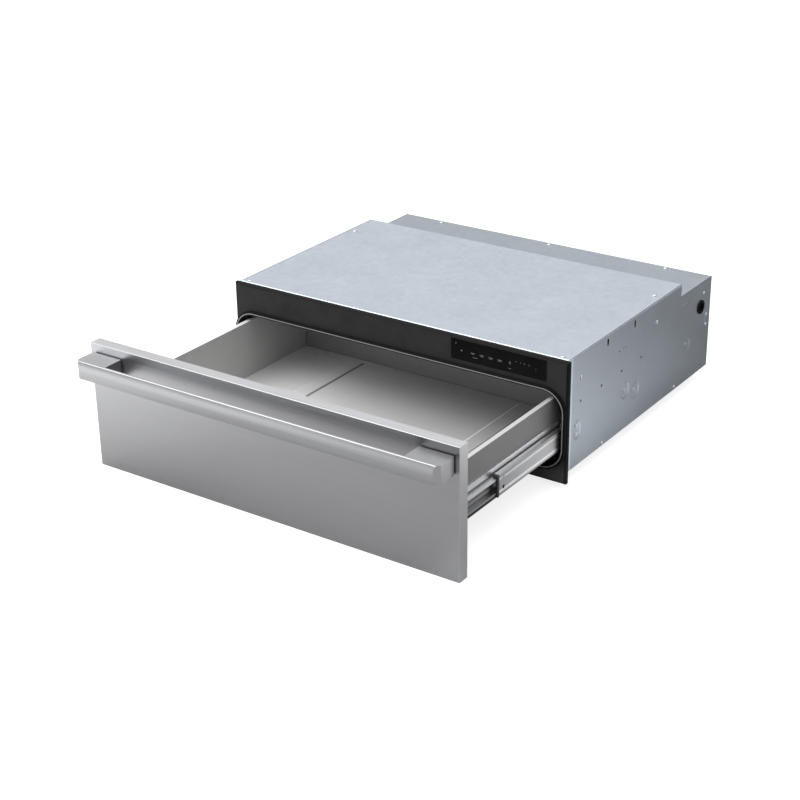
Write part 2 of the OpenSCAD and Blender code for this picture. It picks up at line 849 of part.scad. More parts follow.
// A bar of a slide's length, placed from the rail's face outwards and about the slide's middle
module slide_bar(u0, u1, v0, v1, y) {
    box([rail_x + u0, y, slide_z + v0], [rail_x + u1, y + slide_l, slide_z + v1]);
}

module slide_arm(u0, u1, v0, v1, y, side) {
    slide_bar(u0, u1, min(side * v0, side * v1), max(side * v0, side * v1), y);
}

// A rolled corner between a member's web and its arm
module slide_corner(u, v, y, side) {
    difference() {
        intersection() {
            slide_arm(u - slide_bend, u, v - slide_bend, v, y, side);
            slide_rod(u - slide_bend, side * (v - slide_bend), y, slide_bend);
        }
        slide_rod(u - slide_bend, side * (v - slide_bend), y, slide_bend - slide_t);
    }
}

module slide_rod(u, v, y, r) {
    rod_y(rail_x + u, y - cut, y + slide_l + cut, slide_z + v, r);
}

// The middle member's web, pressed in between its two races
module middle_web() {
    edge = middle_h / 2 - slide_bend;
    translate([rail_x, middle_y, slide_z]) rotate([-90, 0, 0]) linear_extrude(height = slide_l)
        polygon([[middle_out, edge], [middle_out, web_outer], [middle_out - web_dip, web_inner],
            [middle_out - web_dip, -web_inner], [middle_out, -web_outer], [middle_out, -edge],
            [middle_out - slide_t, -edge], [middle_out - slide_t, edge]]);
}

module slide_middle_right() {
    color("#b9bcbf") difference() {
        union() {
            middle_web();
            for (sz = [-1, 1]) {
                slide_corner(middle_out, middle_h / 2, middle_y, sz);
                slide_arm(middle_in, middle_out - slide_bend, middle_h / 2 - slide_t, middle_h / 2,
                    middle_y, sz);
                slide_arm(middle_in, middle_in + slide_t, middle_h / 2 - slide_t - lip_h, middle_h / 2,
                    middle_y, sz);
            }
        }
        rod_x(rail_x, rail_x + slide_w, middle_y + slot_in, slide_z - mark_drop, mark_r);
        pill_z(rail_x, rail_x + slide_w, middle_y + slot_in, slide_z + slot_rise, slot_w / 2,
            slot_l - slot_w);
    }
}

module slide_middle_left() {
    mirror([1, 0, 0]) slide_middle_right();
}

module slide_inner_right() {
    color("#a5a8ab") difference() {
        union() {
            slide_bar(0, slide_t, -inner_h / 2, inner_h / 2, inner_y);
            for (sz = [-1, 1]) {
                slide_arm(0, inner_out, inner_h / 2 - slide_t, inner_h / 2, inner_y, sz);
                slide_arm(inner_out - slide_t, inner_out, inner_h / 2 - slide_t - lip_h, inner_h / 2,
                    inner_y, sz);
            }
        }
        at_rail_screws() screw_hole();
    }
}

module slide_inner_left() {
    mirror([1, 0, 0]) slide_inner_right();
}

module at_rail_screws() {
    for (y = [inner_y + rail_screw_in, inner_y + slide_l / 2, inner_y + slide_l - rail_screw_in])
        translate([rail_x + slide_t, y, slide_z]) rotate([0, 90, 0]) children();
}

// A black stop on the front end of the middle member
module slide_end_cap_right() {
    color("#1b1b1d") difference() {
        box([rail_x + middle_in, middle_y - cap_l, slide_z - middle_h / 2],
            [rail_x + middle_out, middle_y, slide_z + middle_h / 2]);
        box([rail_x + middle_in - cut, middle_y - cap_l - cut, slide_z - inner_h / 2 - lip_gap],
            [rail_x + inner_out + run, middle_y + cut, slide_z + inner_h / 2 + lip_gap]);
    }
}

module slide_end_cap_left() {
    mirror([1, 0, 0]) slide_end_cap_right();
}

// A strip that keeps two rows of balls apart, and the balls
module cage(row, ball_u, web_u, mid) {
    color("#85888c") difference() {
        union() {
            box([rail_x + web_u - cage_t, mid - cage_l / 2, slide_z - row - cage_t / 2],
                [rail_x + web_u, mid + cage_l / 2, slide_z + row + cage_t / 2]);
            for (sz = [-1, 1])
                box([rail_x + ball_u - cage_arm, mid - cage_l / 2, slide_z + sz * row - cage_t / 2],
                    [rail_x + web_u, mid + cage_l / 2, slide_z + sz * row + cage_t / 2]);
        }
        at_balls(row, ball_u, mid) translate([0, 0, -cage_t]) cylinder(r = ball_r + hole_gap, h = 2 * cage_t);
    }
}

module at_balls(row, ball_u, mid) {
    for (i = [0 : ball_count - 1])
        for (sz = [-1, 1])
            translate([rail_x + ball_u, mid + (i - (ball_count - 1) / 2) * ball_pitch, slide_z + sz * row])
                children();
}

module balls(row, ball_u, mid) {
    color("#d5d7da") at_balls(row, ball_u, mid) sphere(r = ball_r);
}

module outer_cage_right() {
    cage(outer_row, outer_ball, slide_w - slide_t - outer_cage_side, outer_cage_mid);
}

module outer_cage_left() {
    mirror([1, 0, 0]) outer_cage_right();
}

module inner_cage_right() {
    cage(inner_row, inner_ball, middle_out - slide_t - inner_cage_side, inner_cage_mid);
}

module inner_cage_left() {
    mirror([1, 0, 0]) inner_cage_right();
}

module outer_balls_right() {
    balls(outer_row, outer_ball, outer_cage_mid);
}

module outer_balls_left() {
    mirror([1, 0, 0]) outer_balls_right();
}

module inner_balls_right() {
    balls(inner_row, inner_ball, inner_cage_mid);
}

module inner_balls_left() {
    mirror([1, 0, 0]) inner_balls_right();
}

// Rivets that hold the outer members to the bosses, with their heads in the bosses' hollows
module slide_rivets() {
    color("#c8ccd1") for (sx = [0, 1])
        mirror([sx, 0, 0]) at_rivets() rotate([0, 90, 0]) {
            translate([0, 0, -slide_t]) cylinder(r = rivet_r, h = slide_t + sheet_t);
            translate([0, 0, sheet_t]) cylinder(r = rivet_head_r, h = rivet_head_h);
        }
}

module top_screws() {
    color("#c8ccd1") {
        at_top_screws() screw();
        at_strip_screws() screw();
    }
}

module side_screws() {
    color("#c8ccd1") {
        for (sx = [0, 1])
            mirror([sx, 0, 0]) at_side_screws() screw();
        at_plate_screws() screw();
    }
}

module rear_screws() {
    color("#c8ccd1") at_rear_screws() screw();
}

module rear_bumpers() {
    color("#202022") for (sx = [-1, 1])
        rod_y(sx * bumper_x, wall_y - bumper_l, wall_y, bumper_z, bumper_r);
}

// Places of the bolts in the handle's ends, with Z along -Y
module at_handle_bolts() {
    for (sx = [-1, 1])
        for (dx = [-bolt_pitch / 2, bolt_pitch / 2])
            translate([sx * handle_end_x + dx, panel_front + skin_t, handle_mid]) rotate([90, 0, 0]) children();
}

module at_pan_screws() {
    for (share = pan_screw_x_shares)
        translate([share * 2 * pan_in, panel_back + pan_t, pan_floor + pan_screw_rise])
            rotate([-90, 0, 0]) children();
}

module pan_screw_hole() {
    translate([0, 0, -pan_screw_in - pan_t - cut])
        cylinder(r = shank_r + hole_gap, h = pan_screw_in + pan_t + 2 * cut);
}

// A folded tray of brushed steel, open to the rear
module front_skin() {
    color("#a7a9ac") difference() {
        box([-panel_w / 2, panel_front, -panel_drop], [panel_w / 2, panel_back, panel_h - panel_drop]);
        box([-panel_w / 2 + skin_t, panel_front + skin_t, -panel_drop + skin_t],
            [panel_w / 2 - skin_t, panel_back + cut, panel_h - panel_drop - skin_t]);
        at_handle_bolts() translate([0, 0, -cut]) cylinder(r = bolt_r + hole_gap, h = skin_t + 2 * cut);
    }
}

module front_fill(y0, y1) {
    box([-panel_w / 2 + skin_t + run, y0, -panel_drop + skin_t + run],
        [panel_w / 2 - skin_t - run, y1, panel_h - panel_drop - skin_t - run]);
}

module front_core() {
    color("#d6cfbd") difference() {
        front_fill(panel_front + skin_t, panel_back - sheet_t);
        at_handle_bolts() translate([0, 0, -bolt_head_h - run])
            cylinder(r = bolt_head_r + run, h = bolt_head_h + run + cut);
        at_pan_screws() pan_screw_hole();
    }
}

module front_inner_plate() {
    color("#a0a3a6") difference() {
        front_fill(panel_back - sheet_t, panel_back);
        at_pan_screws() pan_screw_hole();
    }
}

// A flat bar with a gently rounded face and a wide end at each side that turns back to the front
module handle_bar() {
    color("#b3b5b8") difference() {
        intersection() {
            union() {
                box([-handle_half + handle_end_w, handle_front, handle_mid - handle_h / 2],
                    [handle_half - handle_end_w, handle_front + handle_bar_t, handle_high]);
                for (sx = [0, 1])
                    mirror([sx, 0, 0]) handle_end();
            }
            union() {
                rod_x(-handle_half - cut, handle_half + cut, handle_front + handle_arc, handle_mid, handle_arc);
                box([-handle_half - cut, handle_front + handle_arc, handle_mid - handle_h],
                    [handle_half + cut, handle_front + handle_arc + handle_out, handle_mid + handle_h]);
            }
        }
        at_handle_bolts() cylinder(r = bolt_r + hole_gap, h = skin_t + pad_t + bolt_in + run);
    }
}

module handle_end() {
    low = handle_mid - handle_h / 2;
    box([handle_half - handle_end_w, handle_front, low], [handle_half - handle_r, handle_back, handle_high]);
    box([handle_half - handle_end_w, handle_front + handle_r, low], [handle_half, handle_back, handle_high]);
    rod_z(handle_half - handle_r, handle_front + handle_r, low, handle_high, handle_r);
}

module handle_pads() {
    color("#2a2b2d") difference() {
        for (sx = [0, 1])
            mirror([sx, 0, 0])
                box([handle_half - handle_end_w + pad_in, handle_back, handle_mid - handle_h / 2 + pad_in],
                    [handle_half - pad_in, panel_front, handle_high - pad_in]);
        at_handle_bolts() cylinder(r = bolt_r + hole_gap, h = skin_t + pad_t + cut);
    }
}

module handle_bolts() {
    color("#c8ccd1") at_handle_bolts() {
        cylinder(r = bolt_r, h = skin_t + pad_t + bolt_in);
        translate([0, 0, -bolt_head_h]) cylinder(r = bolt_head_r, h = bolt_head_h);
    }
}

// The steel pan with its rolled side rims and two raised ribs
module drawer_pan() {
    color("#a9aaab") difference() {
        union() {
            difference() {
                box([-pan_half, panel_back, pan_floor - pan_t], [pan_half, pan_rear, pan_rim]);
                box([-pan_in, panel_back + pan_t, pan_floor], [pan_in, pan_rear - pan_t, pan_rim + cut]);
            }
            for (sx = [0, 1])
                mirror([sx, 0, 0]) {
                    box([pan_in, panel_back, pan_rim - pan_t], [pan_half + rim_w, pan_rear, pan_rim]);
                    box([pan_half + rim_w - pan_t, panel_back, rail_top],
                        [pan_half + rim_w, pan_rear, pan_rim]);
                }
            pan_ribs(0, 0);
        }
        pan_ribs(cut, -pan_t);
        at_pan_screws() pan_screw_hole();
    }
}

// The ribs pressed up in the pan's floor, with sloping flanks on every side
module pan_ribs(low, lift) {
    grow = rib_flank * low / rib_h;
    half_l = (pan_l - 2 * pan_t - 2 * rib_end) / 2;
    for (sx = [-1, 1])
        translate([sx * rib_pitch / 2, panel_back + pan_l / 2, pan_floor + lift]) intersection() {
            translate([0, half_l + grow, 0]) rotate([90, 0, 0]) linear_extrude(height = 2 * (half_l + grow))
                rib_cut(rib_w / 2, low, grow);
            translate([-rib_w / 2 - grow, 0, 0]) rotate([90, 0, 90])
                linear_extrude(height = rib_w + 2 * grow) rib_cut(half_l, low, grow);
        }
}

module rib_cut(half, low, grow) {
    polygon([[-half - grow, -low], [half + grow, -low], [half - rib_flank, rib_h], [-half + rib_flank, rib_h]]);
}

module pan_screws() {
    color("#c8ccd1") at_pan_screws() {
        cylinder(r = head_r, h = head_h);
        translate([0, 0, -pan_screw_in]) cylinder(r = shank_r, h = pan_screw_in);
    }
}

// The C of steel beside the pan that carries the slide
module side_rail_right() {
    color("#8f9398") difference() {
        union() {
            box([rail_x - rail_t, panel_back, rail_low], [rail_x, pan_rear - rail_short, rail_top]);
            box([pan_half, panel_back, rail_low], [rail_x, pan_rear - rail_short, rail_low + rail_t]);
            box([pan_half, panel_back, rail_top - rail_t], [rail_x, pan_rear - rail_short, rail_top]);
        }
        at_rail_screws() screw_hole();
    }
}

module side_rail_left() {
    mirror([1, 0, 0]) side_rail_right();
}

module rail_screws() {
    color("#c8ccd1") for (sx = [0, 1])
        mirror([sx, 0, 0]) at_rail_screws() {
            cylinder(r = head_r, h = rail_screw_h);
            translate([0, 0, -slide_t - rail_screw_l]) cylinder(r = shank_r, h = slide_t + rail_screw_l);
        }
}

top_cover();
side_panel_left();
side_panel_right();
base_plate();
rear_panel();
front_frame();
mouth_gasket();
control_glass();
control_carrier();
control_board();
cavity_ceiling();
cavity_rear_wall();
cavity_floor();
base_insulation();
top_insulation();
rear_insulation();
heating_element();
element_clips();
temperature_sensor();
thermal_cutout();
power_board();
board_pillars();
terminal_block();
wire_loom();
cable_grommet();
service_plate();
slide_outer_left();
slide_outer_right();
slide_rivets();
top_screws();
side_screws();
rear_screws();
rear_bumpers();
front_skin();
front_core();
front_inner_plate();
handle_bar();
handle_pads();
handle_bolts();
drawer_pan();
pan_screws();
side_rail_left();
side_rail_right();
slide_inner_left();
slide_inner_right();
rail_screws();
slide_middle_left();
slide_middle_right();
slide_end_cap_left();
slide_end_cap_right();
outer_cage_left();
outer_cage_right();
inner_cage_left();
inner_cage_right();
outer_balls_left();
outer_balls_right();
inner_balls_left();
inner_balls_right();
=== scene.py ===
# %% [markdown]
# # A built-in warming drawer, dressed for its picture
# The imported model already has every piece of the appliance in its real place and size, so this
# lesson makes no dimensions of its own. It gives each piece the finish that the real one has,
# softens the edges that catch the light, and adds the small pressed and printed details.
# First the model is loaded, and its box is kept, because nothing made here may leave it.

# %% Load the model
import json
import math

import bmesh
import bpy
from mathutils import Euler, Matrix, Vector

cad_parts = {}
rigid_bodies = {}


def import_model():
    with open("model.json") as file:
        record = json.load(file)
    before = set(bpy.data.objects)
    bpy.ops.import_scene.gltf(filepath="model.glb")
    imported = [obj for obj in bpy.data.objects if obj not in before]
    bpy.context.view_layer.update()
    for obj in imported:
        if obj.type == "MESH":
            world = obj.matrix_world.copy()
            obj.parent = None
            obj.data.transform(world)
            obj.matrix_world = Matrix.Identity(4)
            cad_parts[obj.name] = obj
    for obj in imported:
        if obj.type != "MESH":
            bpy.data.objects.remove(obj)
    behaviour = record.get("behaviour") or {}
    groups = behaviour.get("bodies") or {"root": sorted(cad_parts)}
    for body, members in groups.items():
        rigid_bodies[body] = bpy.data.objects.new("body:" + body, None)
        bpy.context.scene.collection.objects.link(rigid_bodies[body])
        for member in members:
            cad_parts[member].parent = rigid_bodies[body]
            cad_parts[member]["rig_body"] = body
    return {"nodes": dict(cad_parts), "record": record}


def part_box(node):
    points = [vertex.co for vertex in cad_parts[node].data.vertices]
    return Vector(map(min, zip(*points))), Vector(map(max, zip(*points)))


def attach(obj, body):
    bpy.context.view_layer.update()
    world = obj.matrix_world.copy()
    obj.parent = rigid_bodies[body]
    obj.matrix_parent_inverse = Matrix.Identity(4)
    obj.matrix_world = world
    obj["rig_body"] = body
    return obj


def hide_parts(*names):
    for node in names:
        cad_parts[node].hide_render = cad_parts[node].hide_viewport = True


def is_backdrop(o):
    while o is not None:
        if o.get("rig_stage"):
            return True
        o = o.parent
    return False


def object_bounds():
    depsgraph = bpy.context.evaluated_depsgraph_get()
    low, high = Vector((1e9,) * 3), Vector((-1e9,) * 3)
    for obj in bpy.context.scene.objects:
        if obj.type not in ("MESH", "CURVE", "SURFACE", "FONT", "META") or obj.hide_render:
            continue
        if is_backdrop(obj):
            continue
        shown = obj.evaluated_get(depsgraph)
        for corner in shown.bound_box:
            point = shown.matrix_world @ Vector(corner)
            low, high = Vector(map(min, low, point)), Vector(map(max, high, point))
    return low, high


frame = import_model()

node = frame["nodes"]
cad_low, cad_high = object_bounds()
print("pieces in the model:", len(node))
print("size in mm:", [round(1000 * side) for side in cad_high - cad_low])

# %% [markdown]
# ## The camera
# A long lens a few metres away keeps the drawer's edges nearly parallel, as in a catalogue picture.
# Its place and turn were worked out once from the corners of the front and the case, and are
# written here as plain numbers: metres for the place, degrees for the turn.

# %% Camera
camera_data = bpy.data.cameras.new("camera")
camera_data.sensor_width = 36
camera_data.lens = 76.175
camera = bpy.data.objects.new("camera", camera_data)
camera.location = (1.59917, -2.57114, 1.33123)
camera.rotation_euler = Euler([math.radians(turn) for turn in (65.3759, 0.72476, 34.42354)])
bpy.context.scene.collection.objects.link(camera)
bpy.context.scene.camera = camera
print("camera stands", round((camera.location - (cad_low + cad_high) / 2).length, 2), "m away")

# %% [markdown]
# ## Small tools for finishes
# Every finish below is made of the same few moves: read the place on the piece, stretch it,
# make a grain, turn that grain into a colour, a gloss or a relief. A small function for each
# move keeps the finishes short and easy to compare.

# %% Finish tools
def start_finish(name, metal, coat=0.0):
    """A new finish: the material, its node tree, its shader and the place on the piece in metres."""
    material = bpy.data.materials.new(name)
    material.use_nodes = True
    tree = material.node_tree
    shader = tree.nodes["Principled BSDF"]
    shader.inputs["Metallic"].default_value = metal
    shader.inputs["Coat Weight"].default_value = coat
    place = tree.nodes.new("ShaderNodeTexCoord").outputs["Object"]
    return material, tree, shader, place


def even(colour, change):
    """Two colours, a little darker and a little lighter than the one given."""
    return tuple(c * (1 - change) for c in colour), tuple(min(1, c * (1 + change)) for c in colour)


print("a grey of 0.5, a tenth darker and lighter:", even((0.5,), 0.1))

# %% [markdown]
# ### Grains
# Steel, rubber and wool are never one even colour. A random grain gives them that life: stretched
# long for brushing, in cells for zinc crystals, then spread over a range of gloss or of colour. The
# grain is worked out from the place on the piece. A picture could do it too, but it would show
# seams and run out of detail close by.

# %% Grains
def stretch(tree, place, amounts):
    """The place, stretched along X, Y and Z, so that a grain gets longer or finer."""
    mapping = tree.nodes.new("ShaderNodeMapping")
    mapping.inputs["Scale"].default_value = amounts
    tree.links.new(place, mapping.inputs["Vector"])
    return mapping.outputs["Vector"]


def grain(tree, vector, scale, detail=3.0, roughness=0.55):
    """Soft random grain between 0 and 1, so many grains to the metre."""
    noise = tree.nodes.new("ShaderNodeTexNoise")
    noise.inputs["Scale"].default_value = scale
    noise.inputs["Detail"].default_value = detail
    noise.inputs["Roughness"].default_value = roughness
    tree.links.new(vector, noise.inputs["Vector"])
    return noise.outputs["Fac"]


def cells(tree, vector, scale):
    """Crystal or granule cells, so many to the metre."""
    voronoi = tree.nodes.new("ShaderNodeTexVoronoi")
    voronoi.inputs["Scale"].default_value = scale
    tree.links.new(vector, voronoi.inputs["Vector"])
    return voronoi


def spread(tree, value, low, high, start=0.3, end=0.7):
    """A grain's values, spread from low to high."""
    span = tree.nodes.new("ShaderNodeMapRange")
    span.inputs["From Min"].default_value = start
    span.inputs["From Max"].default_value = end
    span.inputs["To Min"].default_value = low
    span.inputs["To Max"].default_value = high
    tree.links.new(value, span.inputs["Value"])
    return span.outputs["Result"]


def tint(tree, value, dark, light, start=0.3, end=0.7):
    """A grain's values, turned into a colour from dark to light."""
    ramp = tree.nodes.new("ShaderNodeValToRGB")
    ramp.color_ramp.elements[0].position = start
    ramp.color_ramp.elements[0].color = (*dark, 1)
    ramp.color_ramp.elements[1].position = end
    ramp.color_ramp.elements[1].color = (*light, 1)
    tree.links.new(value, ramp.inputs["Fac"])
    return ramp.outputs["Color"]


print("grain tools:", [tool.__name__ for tool in (stretch, grain, cells, spread, tint)])

# %% [markdown]
# ### Shades that belong to a place
# Painted light and shade, such as a lighter foot, a darker strip or a painted shadow along a
# groove, sits at one place of a piece. A curve of greys over the piece's own X, Y or Z, or over the
# way that a face looks, multiplied with its colour, puts it there, and it stays there from every
# side. Splitting the piece would do it too, but the real one is a single sheet.

# %% Shades
def tone(tree, value, stops):
    """A value, turned into a grey by stops of (value, grey)."""
    first, last = stops[0][0], stops[-1][0]
    ramp = tree.nodes.new("ShaderNodeValToRGB")
    tree.links.new(spread(tree, value, 0, 1, first, last), ramp.inputs["Fac"])
    for _ in range(len(stops) - 2):
        ramp.color_ramp.elements.new(0.5)
    for element, (at, grey) in zip(ramp.color_ramp.elements, stops):
        element.position = (at - first) / (last - first)
        element.color = (grey, grey, grey, 1)
    return ramp.outputs["Color"]


def beyond(tree, value, start, end):
    """0 up to the start, 1 from the end on."""
    return tone(tree, value, [(start, 0.0), (end, 1.0)])


def short_of(tree, value, start, end):
    """1 up to the start, 0 from the end on."""
    return tone(tree, value, [(start, 1.0), (end, 0.0)])


def times(tree, one, other):
    """Two colours or greys, multiplied."""
    product = tree.nodes.new("ShaderNodeMix")
    product.data_type = "RGBA"
    product.blend_type = "MULTIPLY"
    product.inputs["Factor"].default_value = 1
    tree.links.new(one, product.inputs["A"])
    tree.links.new(other, product.inputs["B"])
    return product.outputs["Result"]


def parted(tree, vector):
    """The three values of a vector: along X, Y and Z."""
    parts = tree.nodes.new("ShaderNodeSeparateXYZ")
    tree.links.new(vector, parts.inputs["Vector"])
    return parts.outputs["X"], parts.outputs["Y"], parts.outputs["Z"]


def facing(tree):
    """Which way the surface faces, along X, Y and Z."""
    return parted(tree, tree.nodes.new("ShaderNodeNewGeometry").outputs["True Normal"])


def without_sign(tree, value):
    """The value without its sign, so that left and right are treated alike."""
    size = tree.nodes.new("ShaderNodeMath")
    size.operation = "ABSOLUTE"
    tree.links.new(value, size.inputs[0])
    return size.outputs["Value"]


def only_where(tree, mask, factor):
    """A factor where the mask is 1, and 1 where it is 0."""
    return tone(tree, mask, [(0.0, 1.0), (1.0, factor)])


def either(tree, mask, plain, marked):
    """One shade where the mask is 0, the other where it is 1; both may vary over the piece."""
    pick = tree.nodes.new("ShaderNodeMix")
    pick.data_type = "RGBA"
    tree.links.new(mask, pick.inputs["Factor"])
    tree.links.new(plain, pick.inputs["A"])
    tree.links.new(marked, pick.inputs["B"])
    return pick.outputs["Result"]


print("shade tools:", [tool.__name__ for tool in (tone, beyond, short_of, times, only_where, either)])

# %% [markdown]
# ### Relief
# Scratches and sheet grain are hundredths of a millimetre deep, too shallow to be worth a shape. A
# bump leans the light on the surface just as they would.

# %% Relief
def relief(tree, shader, value, depth, strength=1.0):
    """A grain's values, raised from the surface by so many metres."""
    bump = tree.nodes.new("ShaderNodeBump")
    bump.inputs["Distance"].default_value = depth
    bump.inputs["Strength"].default_value = strength
    tree.links.new(value, bump.inputs["Height"])
    for below in shader.inputs["Normal"].links:
        tree.links.new(below.from_socket, bump.inputs["Normal"])
    tree.links.new(bump.outputs["Normal"], shader.inputs["Normal"])


print("finish tools ready")

# %% [markdown]
# ## Floor and light
# Bright sheet steel shows what stands round it more than its own colour, so the room matters as
# much as the finish. The floor is one large flat face just under the model. It is declared as
# stage, so it belongs to the room and not to the appliance.

# %% Floor
def link(name, mesh):
    """Makes an object of a mesh, at the origin, and shows it."""
    made = bpy.data.objects.new(name, mesh)
    bpy.context.scene.collection.objects.link(made)
    return made


floor_reach, floor_gap = 12, 0.0004
floor_bm = bmesh.new()
bmesh.ops.create_grid(floor_bm, x_segments=1, y_segments=1, size=floor_reach)
bmesh.ops.translate(floor_bm, verts=floor_bm.verts, vec=(0, 0, cad_low.z - floor_gap))
floor_mesh = bpy.data.meshes.new("floor")
floor_bm.to_mesh(floor_mesh)
floor_bm.free()
floor = link("floor", floor_mesh)
floor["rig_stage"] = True
print("floor lies at", round(1000 * cad_low.z, 1), "mm")

# %% [markdown]
# ### What the steel mirrors of the floor
# The camera sees the floor plain and white. To the steel it is painted pale on the left and with
# painted shade towards the rear and the right, standing in for the shade of dark side screens, and
# that gives the case's side and the drawer's front their slow gradients. Real screens would do it
# too, but they would show in views from the side.

# %% Floor paint
def plain_to_camera(tree, mirrored, seen, output):
    """Shows one shader to the camera, and the other to all that mirrors it or is lit by it."""
    ray = tree.nodes.new("ShaderNodeLightPath")
    mix = tree.nodes.new("ShaderNodeMixShader")
    tree.links.new(ray.outputs["Is Camera Ray"], mix.inputs["Fac"])
    tree.links.new(mirrored, mix.inputs[1])
    tree.links.new(seen, mix.inputs[2])
    tree.links.new(mix.outputs["Shader"], tree.nodes[output].inputs["Surface"])


floor_paint, floor_tree, floor_shader, floor_place = start_finish("floor_paint", 0.0)
floor_x, floor_y, _ = parted(floor_tree, floor_place)
# Painted shade in the floor that only the steel mirrors: pale on the left, darker towards the rear and the
# right, with a painted dark patch at the right front.
floor_across = tone(floor_tree, floor_x, [(-1.6, 0.9), (-0.8, 0.66), (-0.2, 0.34), (0.3, 0.3), (0.5, 1.0)])
floor_along = tone(floor_tree, floor_y, [(-0.25, 1.0), (0.15, 0.45), (0.5, 0.15), (2.5, 0.4)])
floor_right = beyond(floor_tree, floor_x, 0.3, 0.45)
floor_front = short_of(floor_tree, floor_y, -0.34, -0.16)
floor_painted_dark_patch = only_where(floor_tree, times(floor_tree, floor_right, floor_front), 0.3)
floor_painted_shades = times(floor_tree, times(floor_tree, floor_across, floor_along), floor_painted_dark_patch)
floor_tree.links.new(floor_painted_shades, floor_shader.inputs["Base Color"])
floor_shader.inputs["Roughness"].default_value = 0.9
floor_shader.inputs["Specular IOR Level"].default_value = 0.1
floor_white = floor_tree.nodes.new("ShaderNodeEmission")
floor_white.inputs["Strength"].default_value = 0.8
floor_matte = floor_tree.nodes.new("ShaderNodeBsdfDiffuse")
floor_matte.inputs["Color"].default_value = (0.4, 0.4, 0.4, 1)
floor_seen = floor_tree.nodes.new("ShaderNodeAddShader")
floor_tree.links.new(floor_white.outputs["Emission"], floor_seen.inputs[0])
floor_tree.links.new(floor_matte.outputs["BSDF"], floor_seen.inputs[1])
plain_to_camera(floor_tree, floor_shader.outputs["BSDF"], floor_seen.outputs["Shader"], "Material Output")
floor_mesh.materials.append(floor_paint)
print("floor painted, with", len(floor_tree.nodes), "nodes")

# %% [markdown]
# ### The sky
# A soft white dome lights the whole appliance. It is brightest overhead, which draws thin bright
# lines along the folds, and brighter on the left than on the right. The camera sees it plain white.
# A ring of lamps could do the same, but each would leave its own square in the glass.

# %% Sky
sky = bpy.data.worlds.new("sky")
bpy.context.scene.world = sky
sky.use_nodes = True
sky_tree = sky.node_tree
sky_light = sky_tree.nodes["Background"]
sky_x, _, sky_z = parted(sky_tree, sky_tree.nodes.new("ShaderNodeTexCoord").outputs["Generated"])
sky_across = tone(sky_tree, sky_x, [(-1, 1.0), (0, 0.9), (0.7, 0.6), (1, 0.5)])
sky_height = tone(sky_tree, sky_z, [(0, 0.12), (0.3, 0.25), (0.5, 0.29), (0.75, 0.8), (1, 1.0)])
sky_tree.links.new(times(sky_tree, sky_across, sky_height), sky_light.inputs["Color"])
sky_light.inputs["Strength"].default_value = 2.9
sky_white = sky_tree.nodes.new("ShaderNodeBackground")
sky_white.inputs["Color"].default_value = (1, 1, 1, 1)
plain_to_camera(sky_tree, sky_light.outputs["Background"], sky_white.outputs["Background"], "World Output")
bpy.context.scene.view_settings.view_transform = "Standard"
print("sky is", round(sky_light.inputs["Strength"].default_value, 2), "bright overhead")

# %% [markdown]
# ### The lamp
# One large soft lamp at the upper left front adds a direction, so that the handle, the ribs and
# the folds have a light and a dark side. A small lamp would cut hard shadows.

# %% Lamps
def lamp(name, place, aim, size, power):
    """A square soft lamp of a size in metres and a power in watts, that looks at a point."""
    light = bpy.data.lights.new(name, "AREA")
    light.size = size
    light.energy = power
    made = bpy.data.objects.new(name, light)
    made.location = place
    made.rotation_euler = (Vector(aim) - Vector(place)).to_track_quat("-Z", "Y").to_euler()
    bpy.context.scene.collection.objects.link(made)
    return made


lamp("key_lamp", (-1.8, -2.0, 2.6), (0, -0.2, 0.1), 2.2, 45)

# %% [markdown]
# ## The case's bends
# The case's sheets are bent round at their edges with a radius of a few millimetres. The model
# leaves those edges sharp. A relief that falls away towards an edge like a quarter of a circle
# turns the light there just as the bend does, so each edge gets its thin bright line.

# %% Bends
def bend_height(tree, value, edge, radius, way):
    """Height of a bend near an edge: 0 on the edge, 1 from the radius inwards."""
    steps = [(0, 0), (0.1, 0.44), (0.3, 0.71), (0.6, 0.92), (1, 1)]
    stops = [(edge + way * radius * at, high) for at, high in steps]
    return tone(tree, value, stops if way > 0 else stops[::-1])


def lies_flat(tree):
    """1 where a face of the case looks up, 0 where it looks sideways."""
    return beyond(tree, facing(tree)[2], 0.4, 0.6)


def case_bends(tree, shader, place, radius=0.005):
    """Rounds the front, top and outer edges of the case in the shading."""
    across, along, height = parted(tree, place)
    case_top = node["top_cover"].data.vertices
    front_edge = min(v.co.y for v in case_top)
    outer_edge = max(v.co.x for v in case_top)
    upper_edge = max(v.co.z for v in node["side_panel_right"].data.vertices)
    front = bend_height(tree, along, front_edge, radius, 1)
    side_radius = 0.6 * radius
    outer = bend_height(tree, without_sign(tree, across), outer_edge, side_radius, -1)
    upper = bend_height(tree, height, upper_edge, side_radius, -1)
    relief(tree, shader, times(tree, front, either(tree, lies_flat(tree), upper, outer)), 0.8 * radius)


top_low, top_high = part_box("top_cover")
print("the case is", round(1000 * (top_high.x - top_low.x), 1), "mm wide over its bends")

# %% [markdown]
# ### The case's painted highlights and darker strip
# The fold along the front of the top and the front edge of the side get painted highlights, so the
# rest of the sheet is a shade darker than them. The low strip along the rear is darker still. Both
# are parts of one folded sheet, so they are shades in its finish and not pieces of their own.

# %% Case shades
def case_highlights_and_tone(tree, place):
    """The low strip at the rear is darker, and all the sheet is darker than the painted highlights on its
    front bends.
    """
    along, height = parted(tree, place)[1:]
    behind_step = beyond(tree, along, 0.1466, 0.1472)
    above_side = beyond(tree, height, 0.1836, 0.1842)
    low_strip = only_where(tree, times(tree, behind_step, above_side), 0.74)
    # Painted highlights along the front edge of the side and the front fold of the top.
    side = tone(tree, along, [(-0.2670, 0.86), (-0.2640, 0.6)])
    top = tone(tree, along, [(-0.2775, 0.72), (-0.2760, 0.6)])
    return times(tree, low_strip, either(tree, lies_flat(tree), side, top))


print("case shades ready")

